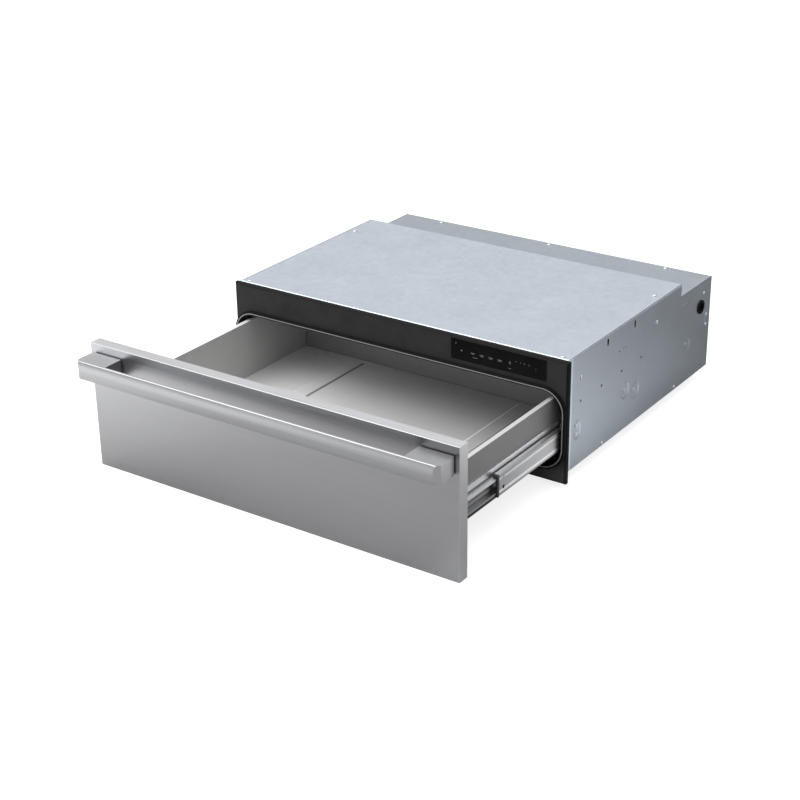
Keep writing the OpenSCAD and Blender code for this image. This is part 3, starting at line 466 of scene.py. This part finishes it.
# %% [markdown]
# ## Sheet steel finishes
# The case is bent from zinc-coated sheet: dull, cool grey, with crystals so faint that they only
# stir the gloss. The front and its handle are stainless, brushed along their length. The pan has
# the same brushing, but it is duller. Each is a grain on the piece, because a real coating or a
# brushed face has no pattern that repeats.

# %% Zinc-coated sheet
def zinc_sheet(name, colour, rough, bent=False):
    """Zinc-coated sheet with faint crystals about 9 mm across; bent for the sheets of the case, which get
    their bends in the shading, painted highlights on their front bends and a darker rear strip.
    """
    material, tree, shader, place = start_finish(name, 1.0)
    crystals = cells(tree, place, 110)
    cloud = grain(tree, place, 9, 4)
    dark, light = even(colour, 0.035)
    base = tint(tree, cloud, dark, light)
    if bent:
        base = times(tree, base, case_highlights_and_tone(tree, place))
    tree.links.new(base, shader.inputs["Base Color"])
    gloss = spread(tree, crystals.outputs["Color"], rough - 0.03, rough + 0.04, 0, 1)
    tree.links.new(gloss, shader.inputs["Roughness"])
    relief(tree, shader, grain(tree, place, 420, 2), 0.00003, 0.5)
    if bent:
        case_bends(tree, shader, place)
    return material


print("zinc sheet ready")

# %% [markdown]
# ### Brushed steel
# Brushing leaves hair-fine scratches that all run one way. A grain squeezed across the brushing and
# left long along it gives them. Brushed steel also shows slow sheens that follow the shape of the
# piece; here each of these pieces can bring its own painted shades and highlights for them.

# %% Brushed steel
def brushed_steel(name, colour, rough, along, change=0.05, metal=1.0, shades=None):
    """Steel brushed along an axis: 0 for X, 1 for Y, 2 for Z; shades darken parts of it with painted light
    and shade.
    """
    material, tree, shader, place = start_finish(name, metal)
    across_the_brushing, along_it, depth = 900.0, 6.0, 0.00002
    amounts = [across_the_brushing] * 3
    amounts[along] = along_it
    lines = grain(tree, stretch(tree, place, amounts), 1.0, 3)
    dark, light = even(colour, change)
    base = tint(tree, lines, dark, light)
    if shades:
        base = times(tree, base, shades(tree, place))
    tree.links.new(base, shader.inputs["Base Color"])
    tree.links.new(spread(tree, lines, rough - 0.05, rough + 0.06), shader.inputs["Roughness"])
    relief(tree, shader, lines, depth, 0.5)
    return material


print("brushed steel ready")

# %% [markdown]
# ### The drawer's front and its handle
# The flat front has a painted sheen that runs from its lower left to its upper right, and a painted
# shadow behind the handle's right end. Its folded edges get painted highlights, and the handle that
# stands off it gets painted shade on its tops and on the inner side of its left end. Front and
# handle are one finish in two pieces, so the depth tells which of them a point belongs to.

# %% Front and handle shades
front_low, front_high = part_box("front_skin")
print("the front is", round(1000 * (front_high.x - front_low.x), 1), "mm wide")


def front_painted_light(tree, place):
    """Painted light: a slanting sheen on the flat front, a shadow behind the handle's right end, highlights
    on the folds round it, and shade on the handle's ends and tops.
    """
    across, along, height = parted(tree, place)
    looks_right, looks_front, looks_up = facing(tree)
    to_right = beyond(tree, across, front_low.x, front_high.x)
    # Painted sheen: the flat front lighter towards its upper left and its lower right.
    left = tone(tree, height, [(front_low.z, 0.65), (0.20, 0.87)])
    right = tone(tree, height, [(front_low.z, 0.82), (0.20, 0.67)])
    # Painted shadow on the front behind the handle's right end.
    painted_shadow_by_the_end = times(tree, beyond(tree, across, 0.295, 0.310), beyond(tree, height, 0.190, 0.198))
    flat = times(tree, either(tree, to_right, left, right), only_where(tree, painted_shadow_by_the_end, 0.5))
    # Painted highlights on the folds: brightest along the bottom, with a brighter line along the top front.
    folded = tone(tree, height, [(front_low.z, 1.0), (0.190, 0.76), (0.2095, 0.76), (0.2112, 0.86)])
    front = either(tree, short_of(tree, looks_front, -0.995, -0.97), folded, flat)
    # Painted shade on the handle: darker all over, darkest on the inner side of its left end, and its tops
    # darker still towards the right.
    inner_side = times(tree, beyond(tree, looks_right, 0.85, 0.95), short_of(tree, across, 0.0, 0.01))
    handle_painted_shade = tone(tree, inner_side, [(0.0, 0.76), (1.0, 0.3)])
    tops = tone(tree, across, [(-0.37, 0.66), (0.3, 0.56)])
    handle = either(tree, beyond(tree, looks_up, 0.85, 0.95), handle_painted_shade, tops)
    return either(tree, short_of(tree, along, -0.6572, -0.6566), front, handle)


# %% [markdown]
# ### The pan
# The pan is one pressed sheet. Its floor gets painted light from the left, its raised ribs get a
# painted light and a painted dark flank, and its end walls and its outside get painted shade. Where
# a face lies, and which way it looks, tells them apart.

# %% Pan shades
def pan_painted_light(tree, place):
    """Painted light and shade on the pan: darker to its right, low at its front, on its ends and outside, and
    on the right flank of each rib, lighter on the left flank.
    """
    across, along, height = parted(tree, place)
    looks_right, _, looks_up = facing(tree)
    # Painted shade on the end walls, on the outside, and low down at the front.
    ends = tone(tree, along, [(-0.6320, 0.66), (-0.6310, 1.0), (-0.1236, 1.0), (-0.1231, 0.4)])
    outside = tone(tree, without_sign(tree, across), [(0.3312, 1.0), (0.3317, 0.46)])
    near = times(tree, short_of(tree, height, 0.0340, 0.0360), short_of(tree, along, -0.5200, -0.3700))
    # Painted light and shade on the rib flanks, and a painted gradient over the floor and rim, lighter to the
    # left.
    rib_flank_painted_light = tone(tree, looks_right, [(-0.6, 0.55), (-0.34, 1.0), (-0.1, 0.84),
                                      (0.1, 0.84), (0.34, 0.3), (0.6, 0.55)])
    floor_and_rim = tone(tree, across, [(-0.2, 1.0), (-0.08, 0.82), (0.08, 0.7), (0.3, 0.56),
                                        (0.322, 0.54), (0.324, 0.66)])
    flat = beyond(tree, looks_up, 0.96, 0.98)
    walls = times(tree, times(tree, ends, outside), only_where(tree, near, 0.55))
    return times(tree, walls, either(tree, flat, rib_flank_painted_light, times(tree, rib_flank_painted_light, floor_and_rim)))


print("pan shades ready")

# %% [markdown]
# ### Slides and rails
# A ball slide is rolled from strip. Its shoulders stand out and shine, and the grooves between them
# are in shade. The model has the folds square, so that shine and shade are painted as bands by
# height, on the slides and on the rail.

# %% Slide and rail shades
def slide_painted_light(tree, place):
    """Painted highlights on the slides' shoulders and painted shade in the grooves between them."""
    across, _, height = parted(tree, place)
    inner = tone(tree, height, [(0.051, 0.5), (0.0585, 0.42), (0.0605, 0.75), (0.062, 0.75),
                                (0.0635, 0.4), (0.0665, 0.4), (0.0672, 0.04), (0.0695, 0.04),
                                (0.0702, 0.3), (0.0738, 0.36), (0.0745, 1.0), (0.0795, 1.0)])
    middle = tone(tree, height, [(0.0464, 0.5), (0.051, 0.46), (0.052, 1.0), (0.0555, 1.0), (0.0565, 0.6),
                                 (0.074, 0.55), (0.0755, 1.0), (0.079, 1.0), (0.080, 0.42), (0.0856, 0.5)])
    return either(tree, beyond(tree, without_sign(tree, across), 0.3455, 0.3460), inner, middle)


def rail_painted_shade(tree, place):
    """Painted shade on the rail's lower band, and a painted shadow line just over the slide."""
    height = parted(tree, place)[2]
    return tone(tree, height, [(0.0365, 0.08), (0.0495, 0.1), (0.0508, 0.6), (0.0805, 0.6),
                               (0.0812, 0.12), (0.0835, 0.12), (0.0855, 0.75), (0.095, 1.0)])


print("slide and rail shades ready")

# %% [markdown]
# ### The sheet finishes themselves
# With the shades at hand, each sheet is one line: its colour, how rough it is, which way it is
# brushed and which shades it has.

# %% Sheet finishes
finishes = {
    "zinc_sheet": zinc_sheet("zinc_sheet", (0.80, 0.875, 0.965), 0.42, True),
    "front_stainless": brushed_steel("front_stainless", (0.685, 0.69, 0.71), 0.34, 0, shades=front_painted_light),
    "pan_steel": brushed_steel("pan_steel", (0.82, 0.82, 0.813), 0.44, 0, metal=0.2, shades=pan_painted_light),
    "inner_plate_steel": zinc_sheet("inner_plate_steel", (0.5, 0.51, 0.53), 0.45),
    "rail_steel": brushed_steel("rail_steel", (0.74, 0.745, 0.76), 0.36, 1, 0.04, shades=rail_painted_shade),
    "cavity_steel": zinc_sheet("cavity_steel", (0.52, 0.53, 0.55), 0.5),
    "slide_steel": brushed_steel("slide_steel", (0.92, 0.93, 0.95), 0.34, 1, shades=slide_painted_light),
}
print("sheet finishes:", sorted(finishes))

# %% [markdown]
# ## Small metal parts
# Balls are hardened and polished, screws are zinc-plated and slightly blue, and the heating tube
# has turned dark and faintly straw-coloured, because its sheath has been hot.

# %% Small metal finishes
def plated(name, colour, rough, patch=60):
    """Small plated or polished parts, with soft smears in the gloss."""
    material, tree, shader, place = start_finish(name, 1.0)
    smear = grain(tree, place, patch, 4)
    dark, light = even(colour, 0.06)
    tree.links.new(tint(tree, smear, dark, light), shader.inputs["Base Color"])
    tree.links.new(spread(tree, smear, rough - 0.04, rough + 0.08), shader.inputs["Roughness"])
    relief(tree, shader, grain(tree, place, 900, 2), 0.00001, 0.4)
    return material


def hot_sheath(name):
    """A heating tube's sheath, darker in bands where it runs hottest."""
    material, tree, shader, place = start_finish(name, 0.9)
    bands = grain(tree, stretch(tree, place, (14, 14, 40)), 1.0, 3)
    base = tint(tree, bands, (0.13, 0.125, 0.12), (0.33, 0.3, 0.26), 0.35, 0.7)
    tree.links.new(base, shader.inputs["Base Color"])
    tree.links.new(spread(tree, bands, 0.42, 0.6), shader.inputs["Roughness"])
    relief(tree, shader, grain(tree, place, 1500, 2), 0.00003, 0.6)
    return material


finishes["ball_steel"] = plated("ball_steel", (0.72, 0.73, 0.75), 0.14)
finishes["fastener_zinc"] = plated("fastener_zinc", (0.62, 0.65, 0.69), 0.3, 200)
finishes["sensor_steel"] = plated("sensor_steel", (0.6, 0.61, 0.63), 0.25)
finishes["element_steel"] = hot_sheath("element_steel")
print("small metal finishes ready")

# %% [markdown]
# ## Enamel, glass, rubber and moulded parts
# The frame is matte black enamel over steel, so it stays dark from every side. The touch glass
# is black glass and mirrors the room. Rubber and plastic are dull, and a fine grain keeps them so.

# %% Enamel and glass
def enamel(name, colour, rough):
    """Matte black enamel with hardly any mirror in it, with painted shade on its narrow edges and painted
    light at its foot.
    """
    material, tree, shader, place = start_finish(name, 0.0)
    shader.inputs["Specular IOR Level"].default_value = 0.06
    cloud = grain(tree, place, 30, 4)
    dark, light = even(colour, 0.12)
    # Painted shade on the narrow edges, and painted light at the foot.
    edges = tone(tree, facing(tree)[1], [(-0.98, 1.0), (-0.9, 0.3)])
    foot = tone(tree, parted(tree, place)[2], [(0.0, 1.0), (0.03, 0.42)])
    base = times(tree, tint(tree, cloud, dark, light), times(tree, edges, foot))
    tree.links.new(base, shader.inputs["Base Color"])
    tree.links.new(spread(tree, cloud, rough - 0.05, rough + 0.06), shader.inputs["Roughness"])
    relief(tree, shader, grain(tree, place, 700, 2), 0.00002, 0.3)
    return material


def black_glass(name):
    """Thick black glass: hardly any colour of its own, and a sharp mirror."""
    material, tree, shader, place = start_finish(name, 0.0)
    shader.inputs["IOR"].default_value = 1.52
    shader.inputs["Specular IOR Level"].default_value = 0.07
    film = grain(tree, place, 25, 5)
    base = tint(tree, film, (0.006, 0.006, 0.0065), (0.009, 0.009, 0.0095))
    tree.links.new(base, shader.inputs["Base Color"])
    tree.links.new(spread(tree, film, 0.04, 0.09), shader.inputs["Roughness"])
    relief(tree, shader, film, 0.00002, 0.15)
    return material


print("enamel and glass ready")

# %% [markdown]
# ### Rubber and moulded plastic
# Rubber and plastic take the grain of their mould. The mouth seal is black rubber too, with a thin
# grey painted highlight along its crown. The line follows the ring round its corners, so it is found
# by how far inside the ring's outline a point lies, and not by X or Z alone.

# %% Moulded finishes
seal_low, seal_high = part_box("mouth_gasket")
seal_corner = 0.0455
print("the seal's ring is", [round(1000 * (seal_high[i] - seal_low[i]), 1) for i in (0, 2)], "mm")


def vector_step(tree, operation, vector, other=None):
    """One sum with a vector, and with a second one where the sum takes two."""
    step = tree.nodes.new("ShaderNodeVectorMath")
    step.operation = operation
    tree.links.new(vector, step.inputs[0])
    if other is not None:
        step.inputs[1].default_value = other
    return step.outputs["Value" if operation == "LENGTH" else "Vector"]


def from_ring_edge(tree, place, low, high, corner):
    """How far inside a ring a point lies, seen from the front: 0 on its outline, 1 a corner radius inside."""
    middle = (0, 0, (low.z + high.z) / 2)
    straights = ((high.x - low.x) / 2 - corner, 1.0, (high.z - low.z) / 2 - corner)
    one_quarter = vector_step(tree, "ABSOLUTE", vector_step(tree, "SUBTRACT", place, middle))
    past_straights = vector_step(tree, "SUBTRACT", one_quarter, straights)
    reach = vector_step(tree, "LENGTH", vector_step(tree, "MAXIMUM", past_straights, (0, 0, 0)))
    return tone(tree, reach, [(0.0, 1.0), (corner, 0.0)])


def crown_painted_highlight(tree, place):
    """1 on the line along the seal's crown where a highlight is painted, 0 elsewhere."""
    inside = from_ring_edge(tree, place, seal_low, seal_high, seal_corner)
    line = tone(tree, inside, [(0.0033 / seal_corner, 0.0), (0.0038 / seal_corner, 1.0),
                               (0.0052 / seal_corner, 1.0), (0.0057 / seal_corner, 0.0)])
    at_mouth = short_of(tree, parted(tree, place)[1], -0.289, -0.288)
    return times(tree, line, at_mouth)


def moulded(name, colour, rough, crown=None):
    """Rubber or plastic out of a mould, with its fine grain, and with a painted highlight along the seal's
    crown where it has one.
    """
    material, tree, shader, place = start_finish(name, 0.0)
    fine_grain, depth = 1400, 0.00004
    cloud = grain(tree, place, 45, 3)
    dark, light = even(colour, 0.06)
    base = tint(tree, cloud, dark, light)
    if crown:
        # Painted highlight: the seal's crown line in a lighter grey.
        base = tint(tree, crown_painted_highlight(tree, place), colour, crown, 0, 1)
        shader.inputs["Specular IOR Level"].default_value = 0.05
    tree.links.new(base, shader.inputs["Base Color"])
    tree.links.new(spread(tree, cloud, rough - 0.06, rough + 0.06), shader.inputs["Roughness"])
    relief(tree, shader, grain(tree, place, fine_grain, 2), depth, 0.6)
    return material


finishes["frame_black"] = enamel("frame_black", (0.081, 0.081, 0.083), 0.55)
finishes["touch_glass"] = black_glass("touch_glass")
finishes["seal_black"] = moulded("seal_black", (0.006, 0.006, 0.006), 0.5, crown=(0.3, 0.3, 0.3))
finishes["dark_plastic"] = moulded("dark_plastic", (0.028, 0.028, 0.03), 0.45)
finishes["pale_plastic"] = moulded("pale_plastic", (0.72, 0.7, 0.63), 0.48)
print("dark and moulded finishes ready")

# %% [markdown]
# ## What nobody sees until the lid comes off
# Mineral wool, green boards and a braided glass sleeve fill the space behind the sheets. They get
# a proper finish too, because the model can be opened and looked at from any side.

# %% Wool, boards and braid
def wool(name):
    """Pressed mineral wool: short pale fibres in tangled layers."""
    material, tree, shader, place = start_finish(name, 0.0)
    fibres = grain(tree, stretch(tree, place, (180, 900, 400)), 1.0, 6, 0.7)
    tree.links.new(tint(tree, fibres, (0.5, 0.46, 0.36), (0.82, 0.79, 0.7)), shader.inputs["Base Color"])
    tree.links.new(spread(tree, fibres, 0.88, 1.0), shader.inputs["Roughness"])
    shader.inputs["Sheen Weight"].default_value = 0.2
    relief(tree, shader, fibres, 0.0006, 0.8)
    return material


def board_green(name):
    """A printed board: green solder mask over faint square tracks."""
    material, tree, shader, place = start_finish(name, 0.0, 0.2)
    tracks = cells(tree, stretch(tree, place, (150, 150, 150)), 1.0)
    tracks.distance = "CHEBYCHEV"
    base = tint(tree, tracks.outputs["Distance"], (0.02, 0.12, 0.06), (0.035, 0.2, 0.1), 0.25, 0.32)
    tree.links.new(base, shader.inputs["Base Color"])
    tree.links.new(spread(tree, tracks.outputs["Distance"], 0.3, 0.42), shader.inputs["Roughness"])
    relief(tree, shader, tracks.outputs["Distance"], 0.00005, 0.5)
    return material


def braid(name):
    """A braided sleeve, with the fine slanting ridges of its strands."""
    material, tree, shader, place = start_finish(name, 0.0)
    weave = tree.nodes.new("ShaderNodeTexWave")
    weave.bands_direction = "DIAGONAL"
    weave.inputs["Scale"].default_value = 260
    tree.links.new(place, weave.inputs["Vector"])
    base = tint(tree, weave.outputs["Fac"], (0.45, 0.43, 0.37), (0.72, 0.7, 0.62))
    tree.links.new(base, shader.inputs["Base Color"])
    tree.links.new(spread(tree, weave.outputs["Fac"], 0.6, 0.8), shader.inputs["Roughness"])
    relief(tree, shader, weave.outputs["Fac"], 0.0002, 0.7)
    return material


finishes["insulation"] = wool("insulation")
finishes["circuit_board"] = board_green("circuit_board")
finishes["loom_sleeve"] = braid("loom_sleeve")
print("finishes made:", len(finishes))

# %% [markdown]
# ## Put the finishes on
# The record lists which material slot each piece takes, so one loop paints all of them. They could
# be painted one by one, but then one is soon forgotten, and a look inside would find it bare.

# %% Paint every piece
slot_of = {part["node"]: part["material_slot"] for part in frame["record"]["subparts"]}
for name, piece in node.items():
    piece.data.materials[0] = finishes[slot_of[name]]
print("painted", len(slot_of), "pieces with", len(set(slot_of.values())), "finishes")

# %% [markdown]
# ## Soft edges
# No real edge is perfectly sharp: folded steel has a bend, a cast or ground part has a tiny round.
# Those rounds catch the light as thin bright lines, and the eye reads them as thickness. The
# model's own mesh stays untouched. A copy is merged, its flat areas are cleaned, and a bevel
# rounds its sharp edges. The copy then stands for the plain piece. Edges much shorter than the
# round are left out, or the bevel would fold over itself. The seal is the exception: its curved
# ends are all short edges, and they take the round well. The front is a thin sheet, so only the
# edges round its face are rounded, and not those inside the fold.

# %% Edge softener
merge_reach, sharp_edge, round_steps = 1e-6, 40, 3


def finished_mesh(bm, name, smooth_below=38):
    """A mesh out of a bmesh, smooth except across edges sharper than an angle in degrees."""
    mesh = bpy.data.meshes.new(name)
    bm.to_mesh(mesh)
    bm.free()
    old = mesh.attributes.get("custom_normal")
    if old:
        mesh.attributes.remove(old)
    mesh.shade_smooth()
    mesh.set_sharp_from_angle(angle=math.radians(smooth_below))
    return mesh


def dressed(source, mesh):
    """Shows a finished mesh in the place of a model piece, flat where it is flat."""
    piece = link(source + "_dressed", mesh)
    weighted = piece.modifiers.new("flat_faces_stay_flat", "WEIGHTED_NORMAL")
    weighted.keep_sharp = True
    weighted.weight = 100
    mesh.materials.clear()
    mesh.materials.append(finishes[slot_of[source]])
    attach(piece, node[source]["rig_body"])
    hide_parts(source)
    return piece


def softened(source, width, longer=4.0, front_only=False):
    """A copy of a model piece, its sharp edges, or only those round its front, rounded by so many metres."""
    bm = bmesh.new()
    bm.from_mesh(node[source].data)
    bmesh.ops.remove_doubles(bm, verts=bm.verts, dist=merge_reach)
    bmesh.ops.dissolve_limit(bm, angle_limit=math.radians(0.5), verts=bm.verts, edges=bm.edges)
    edges = [e for e in bm.edges if len(e.link_faces) == 2
             and e.calc_face_angle() > math.radians(sharp_edge) and e.calc_length() > longer * width]
    if front_only:
        just_behind = min(v.co.y for v in bm.verts) + 0.00001
        edges = [e for e in edges if all(v.co.y < just_behind for v in e.verts)]
    bmesh.ops.bevel(bm, geom=edges, offset=width, affect="EDGES", segments=round_steps,
                    profile=0.5, material=-1)
    print(source, "edges rounded:", len(edges))
    return dressed(source, finished_mesh(bm, source + "_dressed"))


softened("front_skin", 0.0009, front_only=True)
softened("handle_bar", 0.0008)
softened("mouth_gasket", 0.0031, longer=0.0)

# %% [markdown]
# ## Screw heads
# The model's screws are plain round heads on a shank. The real ones are domed and have a cross
# pressed in for the driver. Each head is built of rings joined from the rim up to a plus-shaped
# grid, and the plus is then pushed down and narrowed, which is how the cross gets its slopes.

# %% Crossed screw
round_sides = 24


def crossed_screw(head_r, head_h, shank_r, length):
    """One screw along +Z, its head standing on the plane z = 0."""
    bm = bmesh.new()
    tip_r, tip_length, arm_line = 0.7 * shank_r, 0.0008, 0.3 * head_r
    rings = [(tip_r, -length), (shank_r, -length + tip_length), (shank_r, 0), (head_r, 0),
             (head_r, 0.3 * head_h), (0.93 * head_r, 0.58 * head_h),
             (0.76 * head_r, 0.82 * head_h), (0.6 * head_r, 0.93 * head_h)]
    loops = []
    for number, (radius, height) in enumerate(rings):
        ring = bmesh.ops.create_circle(bm, segments=round_sides, radius=radius, cap_ends=number == 0)["verts"]
        bmesh.ops.translate(bm, verts=ring, vec=(0, 0, height))
        loops.append(list({e for v in ring for e in v.link_edges if e.other_vert(v) in ring}))
    for lower, upper in zip(loops, loops[1:]):
        bmesh.ops.bridge_loops(bm, edges=lower + upper)
    plus = bmesh.ops.create_grid(bm, x_segments=3, y_segments=3, size=0.42 * head_r)["verts"]
    bmesh.ops.translate(bm, verts=plus, vec=(0, 0, head_h))
    for v in plus:
        for axis in (0, 1):
            if abs(v.co[axis]) < arm_line:
                v.co[axis] *= 0.75
    corners = [v for v in plus if abs(v.co.x) > arm_line and abs(v.co.y) > arm_line]
    bmesh.ops.delete(bm, geom=corners, context="VERTS")
    plus_faces = [f for f in bm.faces if all(abs(v.co.z - head_h) < 1e-7 for v in f.verts)]
    plus_rim = [e for e in bm.edges if e.is_boundary and all(abs(v.co.z - head_h) < 1e-7 for v in e.verts)]
    bmesh.ops.bridge_loops(bm, edges=loops[-1] + plus_rim)
    pushed = bmesh.ops.extrude_face_region(bm, geom=plus_faces)["geom"]
    bmesh.ops.delete(bm, geom=[f for f in plus_faces if f.is_valid], context="FACES_ONLY")
    low_verts = [v for v in pushed if isinstance(v, bmesh.types.BMVert)]
    bmesh.ops.translate(bm, verts=low_verts, vec=(0, 0, -0.6 * head_h))
    bmesh.ops.scale(bm, verts=low_verts, vec=(0.6, 0.6, 1))
    bmesh.ops.recalc_face_normals(bm, faces=bm.faces)
    return bm


print("crossed screw ready, with", round_sides, "sides")

# %% [markdown]
# ### Every screw in its place
# The model's screws come as three sets. Each set is parted into its loose screws, and the box of
# each tells where its head sits and which way it looks. Each cross is turned on from the last one,
# because nobody drives screws to one angle.

# %% Put the screws in
def separate_parts(name):
    """The loose parts of a model piece: for each, its lowest and highest corner."""
    bm = bmesh.new()
    bm.from_mesh(node[name].data)
    bmesh.ops.remove_doubles(bm, verts=bm.verts, dist=merge_reach)
    left, boxes = set(bm.verts), []
    while left:
        part, waiting = set(), [left.pop()]
        while waiting:
            v = waiting.pop()
            part.add(v)
            for e in v.link_edges:
                other = e.other_vert(v)
                if other in left:
                    left.remove(other)
                    waiting.append(other)
        boxes.append([Vector([pick(v.co[i] for v in part) for i in range(3)]) for pick in (min, max)])
    bm.free()
    return sorted(boxes, key=lambda box: tuple(round(c, 5) for c in box[0]))


def dress_screws(name, axis, head_h):
    """Puts a crossed screw in the place of each plain one; axis 2 looks up, 1 to the rear, 0 outwards."""
    whole = bmesh.new()
    for number, (low, high) in enumerate(separate_parts(name)):
        middle = (low + high) / 2
        out = -1 if axis == 0 and middle.x < 0 else 1
        across = [i for i in range(3) if i != axis]
        head_r = (high[across[0]] - low[across[0]]) / 2
        screw = crossed_screw(head_r, head_h, 0.5 * head_r, high[axis] - low[axis] - head_h)
        direction = Vector([out if i == axis else 0 for i in range(3)])
        seat = middle.copy()
        seat[axis] = (high[axis] if out > 0 else low[axis]) - out * head_h
        turn = Matrix.Rotation(math.radians(turned_on * number), 4, direction)
        aim = Vector((0, 0, 1)).rotation_difference(direction).to_matrix().to_4x4()
        bmesh.ops.transform(screw, matrix=Matrix.Translation(seat) @ turn @ aim, verts=screw.verts)
        one = bpy.data.meshes.new(name)
        screw.to_mesh(one)
        screw.free()
        whole.from_mesh(one)
        bpy.data.meshes.remove(one)
    return dressed(name, finished_mesh(whole, name + "_dressed", 30))


head_height, turned_on = 0.0022, 37
for screws, axis in (("top_screws", 2), ("side_screws", 0), ("rear_screws", 1)):
    dressed_screws = dress_screws(screws, axis, head_height)
    print(screws, "faces:", len(dressed_screws.data.polygons))

# %% [markdown]
# ## Marks on the touch glass
# Touch keys have no buttons, only small pale marks printed on the glass. These are plain, generic
# ones: a switch ring, a dot, four bars with a growing bar under each and a line under the first,
# a plus and a minus, four dots and a clock ring. Each is a thin film on the glass, thinner than a
# hair. A texture could show them too, but a film keeps its sharp edges however close one looks.

# %% One printed mark
glass_low, glass_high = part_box("control_glass")
film, film_gap = 0.00004, 0.00001
print("the glass is", [round(1000 * (glass_high[i] - glass_low[i]), 1) for i in (0, 2)], "mm")


def mark(whole, kind, across, down, wide, tall):
    """Adds one flat mark, its middle so far from the glass's left edge and top, in metres."""
    bm = bmesh.new()
    if kind == "bar":
        bmesh.ops.create_grid(bm, x_segments=1, y_segments=1, size=0.5)
    else:
        bmesh.ops.create_circle(bm, segments=round_sides, radius=0.5, cap_ends=True)
    if kind == "ring":
        inner = bmesh.ops.inset_region(bm, faces=bm.faces[:], thickness=0.12)["faces"]
        middle = [f for f in bm.faces if f not in inner]
        bmesh.ops.delete(bm, geom=middle, context="FACES")
    solid = bmesh.ops.extrude_face_region(bm, geom=bm.faces[:])["geom"]
    bmesh.ops.translate(bm, verts=[v for v in solid if isinstance(v, bmesh.types.BMVert)], vec=(0, 0, 1))
    bmesh.ops.recalc_face_normals(bm, faces=bm.faces)
    size = Matrix.Diagonal((wide, tall, film, 1))
    upright = Matrix.Rotation(math.radians(90), 4, "X")
    place = Matrix.Translation((glass_low.x + across, glass_low.y + film_gap, glass_high.z - down))
    bmesh.ops.transform(bm, matrix=place @ upright @ size, verts=bm.verts)
    one = bpy.data.meshes.new("mark")
    bm.to_mesh(one)
    bm.free()
    whole.from_mesh(one)
    bpy.data.meshes.remove(one)


# %% [markdown]
# ### The row of marks
# The marks stand in one row, with the switch above it at the left, as on most such panels. They
# are joined into one mesh, because one print puts them all on.

# %% Printed marks
row, first_bar, bar_pitch, stroke = 0.0205, 0.0445, 0.0180, 0.1190
marks = bmesh.new()
mark(marks, "ring", 0.0100, 0.0105, 0.0065, 0.0065)
mark(marks, "bar", 0.0100, 0.0080, 0.0012, 0.0036)
mark(marks, "dot", 0.0215, 0.0200, 0.0032, 0.0032)
for step in range(4):
    mark(marks, "bar", first_bar + bar_pitch * step, row, 0.0085, 0.0013)
    mark(marks, "bar", first_bar + bar_pitch * step, 0.0225, 0.0022 * (step + 1), 0.0010)
mark(marks, "bar", 0.0490, 0.0280, 0.0100, 0.0008)
mark(marks, "bar", stroke, row, 0.0012, 0.0070)
mark(marks, "bar", stroke, row, 0.0048, 0.0012)
mark(marks, "bar", stroke, 0.0310, 0.0048, 0.0012)
for step in range(4):
    mark(marks, "dot", 0.1310 + 0.0085 * step, 0.0155 + 0.0004 * step, 0.0018, 0.0018)
mark(marks, "ring", 0.1700, 0.0215, 0.0055, 0.0055)
mark(marks, "bar", 0.1700, 0.0207, 0.0008, 0.0024)
mark_mesh = finished_mesh(marks, "touch_marks", 30)
mark_mesh.materials.append(moulded("mark_print", (0.17, 0.17, 0.165), 0.6))
touch_marks = link("touch_marks", mark_mesh)
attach(touch_marks, node["control_glass"]["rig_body"])
print("marks printed:", len(mark_mesh.polygons), "faces")

# %% [markdown]
# ## Keep the sizes
# The finished box is measured like the model's, and how far it differs is printed.

# %% Finish
new_low, new_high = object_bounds()
differences = (*(new_low - cad_low), *(new_high - cad_high))
print("the finished box differs by", [round(1000 * difference, 2) for difference in differences], "mm")
